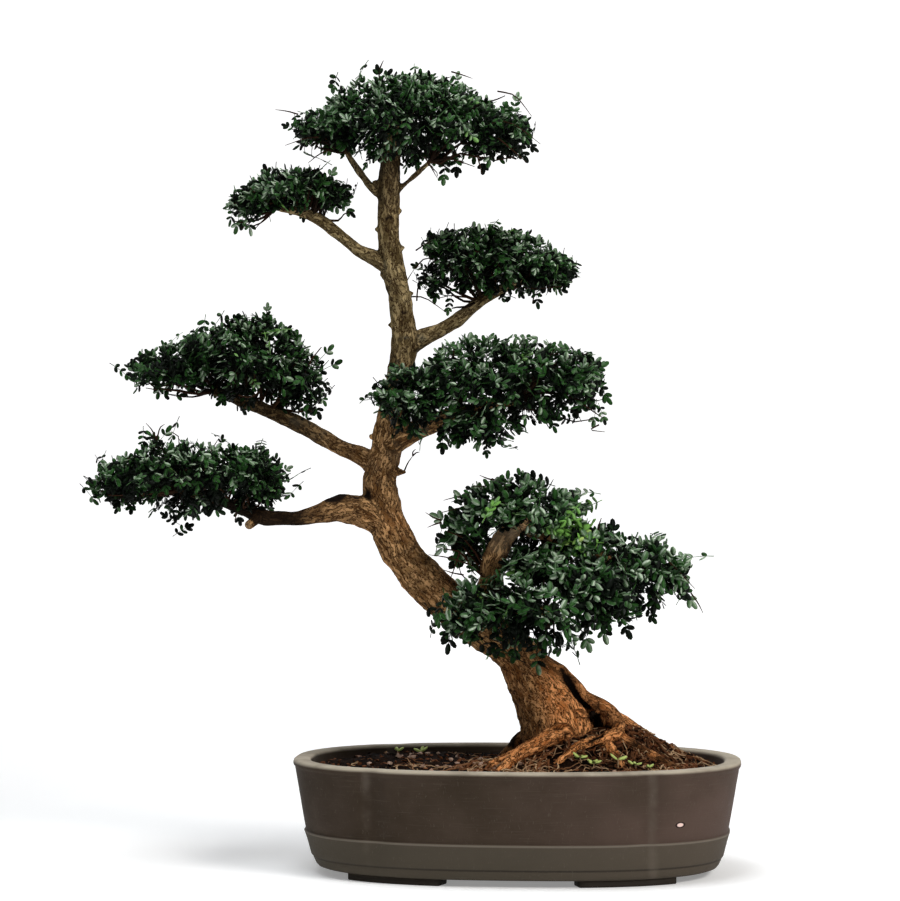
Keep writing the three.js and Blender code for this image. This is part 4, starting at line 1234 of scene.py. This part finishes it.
def leafShells(pairs, stations, halves, rng):
    # leaflets stand in pairs along a thin three-sided rib that sags towards its tip; each has its own tone
    pile = Pile()
    shell = leafletShell(stations, halves)
    length = leaf["length"]
    ribEnd = length - leaf["leafletLength"] * 0.92
    drop = lambda x: -leaf["droop"] * (x / length) ** 2 * length

    def setLeaflet(x, degrees, size):
        # one leaflet rolled a little, turned away from the rib and set on it, with its own tone
        tilt = rng.uniform(-0.45, 0.45)
        points, quads, triangles, place = shell
        turned = turnedAbout((points * size)[None], np.array([tilt]), np.radians([degrees]))[0]
        values = place.copy()
        values[:, 2] = rng.uniform(-1, 1)
        pile.add(turned + [x, 0, drop(x)], quads, triangles, values)

    for k in range(pairs):
        x = ribEnd * (0.30 + 0.58 * k / max(1, pairs - 1))
        for side in (1, -1):
            degrees = leaf["pairAngle"] + rng.uniform(-12, 12) - 6 * k
            setLeaflet(x, side * degrees, rng.uniform(0.78, 1.08))
    setLeaflet(ribEnd, rng.uniform(-10, 10), 1.08)
    x = np.linspace(0, ribEnd, 4)
    ribPath = np.column_stack([x, 0 * x, [drop(v) for v in x], np.linspace(0.00050, 0.00028, 4)])
    pile.addTube(ribPath, 3, 4)
    return pile.gathered()


def lobeLevels(places, lobes):
    # how far out each place is in each lobe, 1 on its surface
    return np.linalg.norm((places[:, None] - lobes[None, :, :3]) / lobes[None, :, 3:6], axis=2)


def shellPlaces(lobes, count, near, far, rng):
    # places spread over the outside of joined lobes, between two levels of each, and the way out there.
    # A lobe's share is its ellipsoid's area, from the 1.6-power mean of its sections, times its density
    a, b, c = lobes[:, 3:6].T ** 1.6
    share = (a * b + a * c + b * c) ** (1 / 1.6) * lobes[:, 6]
    tries = count * leaf["tries"]
    lobe = rng.choice(len(lobes), tries, p=share / share.sum())
    halves = lobes[lobe, 3:6]
    heading = unit(unit(rng.standard_normal((tries, 3))) * halves)
    heading = heading / np.linalg.norm(heading / halves, axis=1)[:, None]
    level = rng.uniform(near, far, tries)
    bumpy = 1 + leaf["bumps"] * easedNoise(heading, leaf["bumpCell"], 7)
    places = lobes[lobe, :3] + heading * (level * bumpy)[:, None]
    out = unit(heading / halves ** 2)
    exposed = lobeLevels(places, lobes).min(axis=1) >= level * bumpy - 0.06
    keep = exposed & (rng.random(tries) < np.where(out[:, 2] < -0.45, 0.62, 1))
    return places[keep][:count], out[keep][:count], level[keep][:count]


def leafPoses(out, rng, size, stray=0.5, front=0.35):
    # a leaf grows outwards and somewhat up, arching over at the pad's edge; its face looks up and out
    count = len(out)
    up = np.array([0, 0, 1.0])
    lift = np.where(out[:, 2:] > 0, 0.25, -0.3)
    grow = unit(out * 0.8 + up * lift + stray * rng.standard_normal((count, 3)))
    face = up * 0.65 + out * 0.5 + [0, -front, 0] + stray * 0.85 * rng.standard_normal((count, 3))
    face = unit(face - grow * (face * grow).sum(axis=1, keepdims=True))
    return grow, np.cross(face, grow), face, size * rng.uniform(*leaf["size"], count)


def addLeaves(pile, templates, tips, poses, tones, rng):
    # each template's points are turned into the leaf's own axes and set back from its tip
    grow, across, face, size = poses
    pick = rng.integers(len(templates), size=len(tips))
    for k, (points, quads, triangles, place) in enumerate(templates):
        chosen = np.flatnonzero(pick == k)
        if not len(chosen):
            continue
        axes = np.stack([grow[chosen], across[chosen], face[chosen]], axis=1) * size[chosen][:, None, None]
        roots = tips[chosen] - grow[chosen] * (size[chosen] * leaf["length"])[:, None]
        values = np.broadcast_to(place, (len(chosen), len(points), 3)).copy()
        values[:, :, 2] = tones[chosen][:, None] + 0.42 * values[:, :, 2]
        pile.addMany(np.einsum("vi,nij->nvj", points, axes) + roots[:, None], quads, triangles, values)


templateRandom = np.random.default_rng(3)
outerLeaves = [leafShells(pairs, *leaf["full"], templateRandom) for pairs in leaf["outerPairs"]]
innerLeaves = [leafShells(pairs, *leaf["plain"], templateRandom) for pairs in leaf["innerPairs"]]


def leafTones(tips, out, level, face, young, rng):
    # painted shade inside the pad, painted light outside and where the leaf's face looks up; 2 more in a
    # young patch
    tones = 0.42 * easeBetween(level, 0.78, 1.0) + 0.24 * face[:, 2] + 0.14 * out[:, 2] \
        + 0.14 * rng.standard_normal(len(tips))
    for x, z, radius in young:
        reach = np.hypot(*(tips - potCentre - np.array([x, 0, z]) * millimetre)[:, ::2].T)
        patch = 1 - easeBetween(reach, radius * 0.4 * millimetre, radius * millimetre)
        tones += 2 * patch * (rng.random(len(tips)) < leaf["youngShare"])
    return tones + 1.2 * (rng.random(len(tips)) < leaf["brightShare"])


def makePad(name, pad, seed):
    # an outer and an inner layer of leaves round the lobes, with gaps where bare wood shows, and single
    # leaves that stand out at the edge
    rng = np.random.default_rng(seed)
    lobes = np.array(pad["lobes"], float)
    lobes[:, :6] *= millimetre
    lobes[:, :3] += potCentre
    pile = Pile()
    for templates, (share, near, far) in ((outerLeaves, leaf["outer"]), (innerLeaves, leaf["inner"])):
        tips, out, level = shellPlaces(lobes, int(pad["leaves"] * share), near, far, rng)
        poses = leafPoses(out, rng, pad["size"])
        tones = leafTones(tips, out, level, poses[2], pad.get("young", []), rng) + pad.get("lighter", 0)
        clear = np.ones(len(tips), bool)
        for x, z, radius in pad.get("bare", []):
            for share in (0.1, 0.6):
                back = poses[0] * (poses[3] * share * leaf["length"])[:, None]
                place = (tips - back - potCentre) / millimetre
                behind = place[:, 1] > leaf["clearedTo"]
                clear &= (np.hypot(place[:, 0] - x, place[:, 2] - z) > radius) | behind
        addLeaves(pile, templates, tips[clear], [part[clear] for part in poses], tones[clear], rng)
    x, z, degrees = np.array(pad["sprigs"], float).T
    turn = np.radians(degrees)
    depth = lobes[0, 1] + 0.012 * rng.standard_normal(len(x))
    tips = np.column_stack([x * millimetre + potCentre[0], depth, z * millimetre])
    out = np.column_stack([np.cos(turn), 0.1 * rng.standard_normal(len(turn)), np.sin(turn)])
    poses = leafPoses(out, rng, pad["size"], 0.12, 1.2)
    addLeaves(pile, outerLeaves, tips, poses, 0.45 + 0.2 * rng.standard_normal(len(tips)), rng)
    pile.piece(name, leafGreen, "leaf", pad["node"])
    return tips, lobes


def makeTwigs(tipsByPad):
    # thin twigs: each bends from a bough's outer rows, up and outwards, to a place inside the pad's leaves
    rng = np.random.default_rng(77)
    steps = twigs["steps"]
    share = np.linspace(0, 1, steps)[None, :, None]
    pile = Pile()
    for name, (sprigTips, lobes) in tipsByPad.items():
        ends = shellPlaces(lobes, twigs["perPad"], *twigs["levels"], rng)[0]
        ends = np.vstack([ends, sprigTips - (sprigTips - lobes[0, :3]) * 0.12])
        hubs = np.vstack([curveThrough(inPlace(wood["boughs"].get(bough, wood["trunk"]))[-3:], 9)[:, :3]
                          for bough in pads[name]["boughs"]])
        away = np.linalg.norm(ends[:, None] - hubs[None], axis=2)
        foot = hubs[away.argmin(axis=1)]
        reach = away.min(axis=1)[:, None, None]
        bow = unit(rng.standard_normal((len(ends), 3)) + [0, 0, 0.4])[:, None]
        middles = foot[:, None] + (ends - foot)[:, None] * share \
            + bow * reach * twigs["bow"] * np.sin(share * math.pi) \
            + bow[:, :, ::-1] * reach * twigs["wave"] * np.sin(share * 3 * math.pi)
        thickness = rng.uniform(0.6, 1.1, (len(ends), 1)) * millimetre
        radii = np.linspace(*twigs["radii"], steps)[None] * thickness
        pile.addBars(middles, radii, 4, rng.uniform(0.0, 0.14, len(ends)))
    for depth, rows in bareTwigs:
        for row in np.array(rows, float) * millimetre:
            places = [row[::2] + potCentre[0], [depth * millimetre] * 3, row[1::2], twigs["bareRadii"]]
            pile.addTube(np.column_stack(places), 5, 6, (0.1, 0.1, 0.1))
    pile.piece("padTwigs", fibre, "bark")


makeTwigs({name: makePad(name, pad, 40 + k) for k, (name, pad) in enumerate(pads.items())})
print("leaves made")


def makeSeedlings():
    # a few narrow leaves lean outwards from the top of a thin stem
    rng = np.random.default_rng(5)
    points, quads, triangles, place = leafletShell(*leaf["seedling"])
    stems, blades = Pile(), Pile()
    facing = np.array([0, -0.5, 0.8])
    for x, y, height, size, count in litter["seedlings"]:
        foot = np.array([x, y, 0]) * millimetre + potCentre
        foot[2] = soilHeight(*np.array([x, y]) * millimetre, np.array(pot["ringInset"]))
        top = foot + [0.002 * rng.standard_normal(), 0, height * millimetre]
        stem = [[*foot, 0.0008], [*((foot + top) / 2), 0.0006], [*top, 0.0005]]
        stems.addTube(stem, 5, 4, (0.9, 0.9, 0.9))
        turn = rng.uniform(0, 2 * math.pi) + ringAngles(count) + 0.3 * rng.standard_normal(count)
        grow = unit(np.column_stack([np.cos(turn), np.sin(turn), rng.uniform(0.25, 0.9, count)]))
        face = unit(facing - grow * (grow @ facing)[:, None])
        axes = np.stack([grow, np.cross(face, grow), face], axis=1)
        spread = np.einsum("vi,nij->nvj", points, axes * size * millimetre / leaf["leafletLength"]) + top
        blades.addMany(spread, quads, triangles, np.broadcast_to(place + [0, 0, 3.6], spread.shape))
    stems.piece("seedlingStems", fibre, "leaf")
    blades.piece("seedlingLeaves", leafGreen, "leaf")


makeSeedlings()
print("seedlings made")
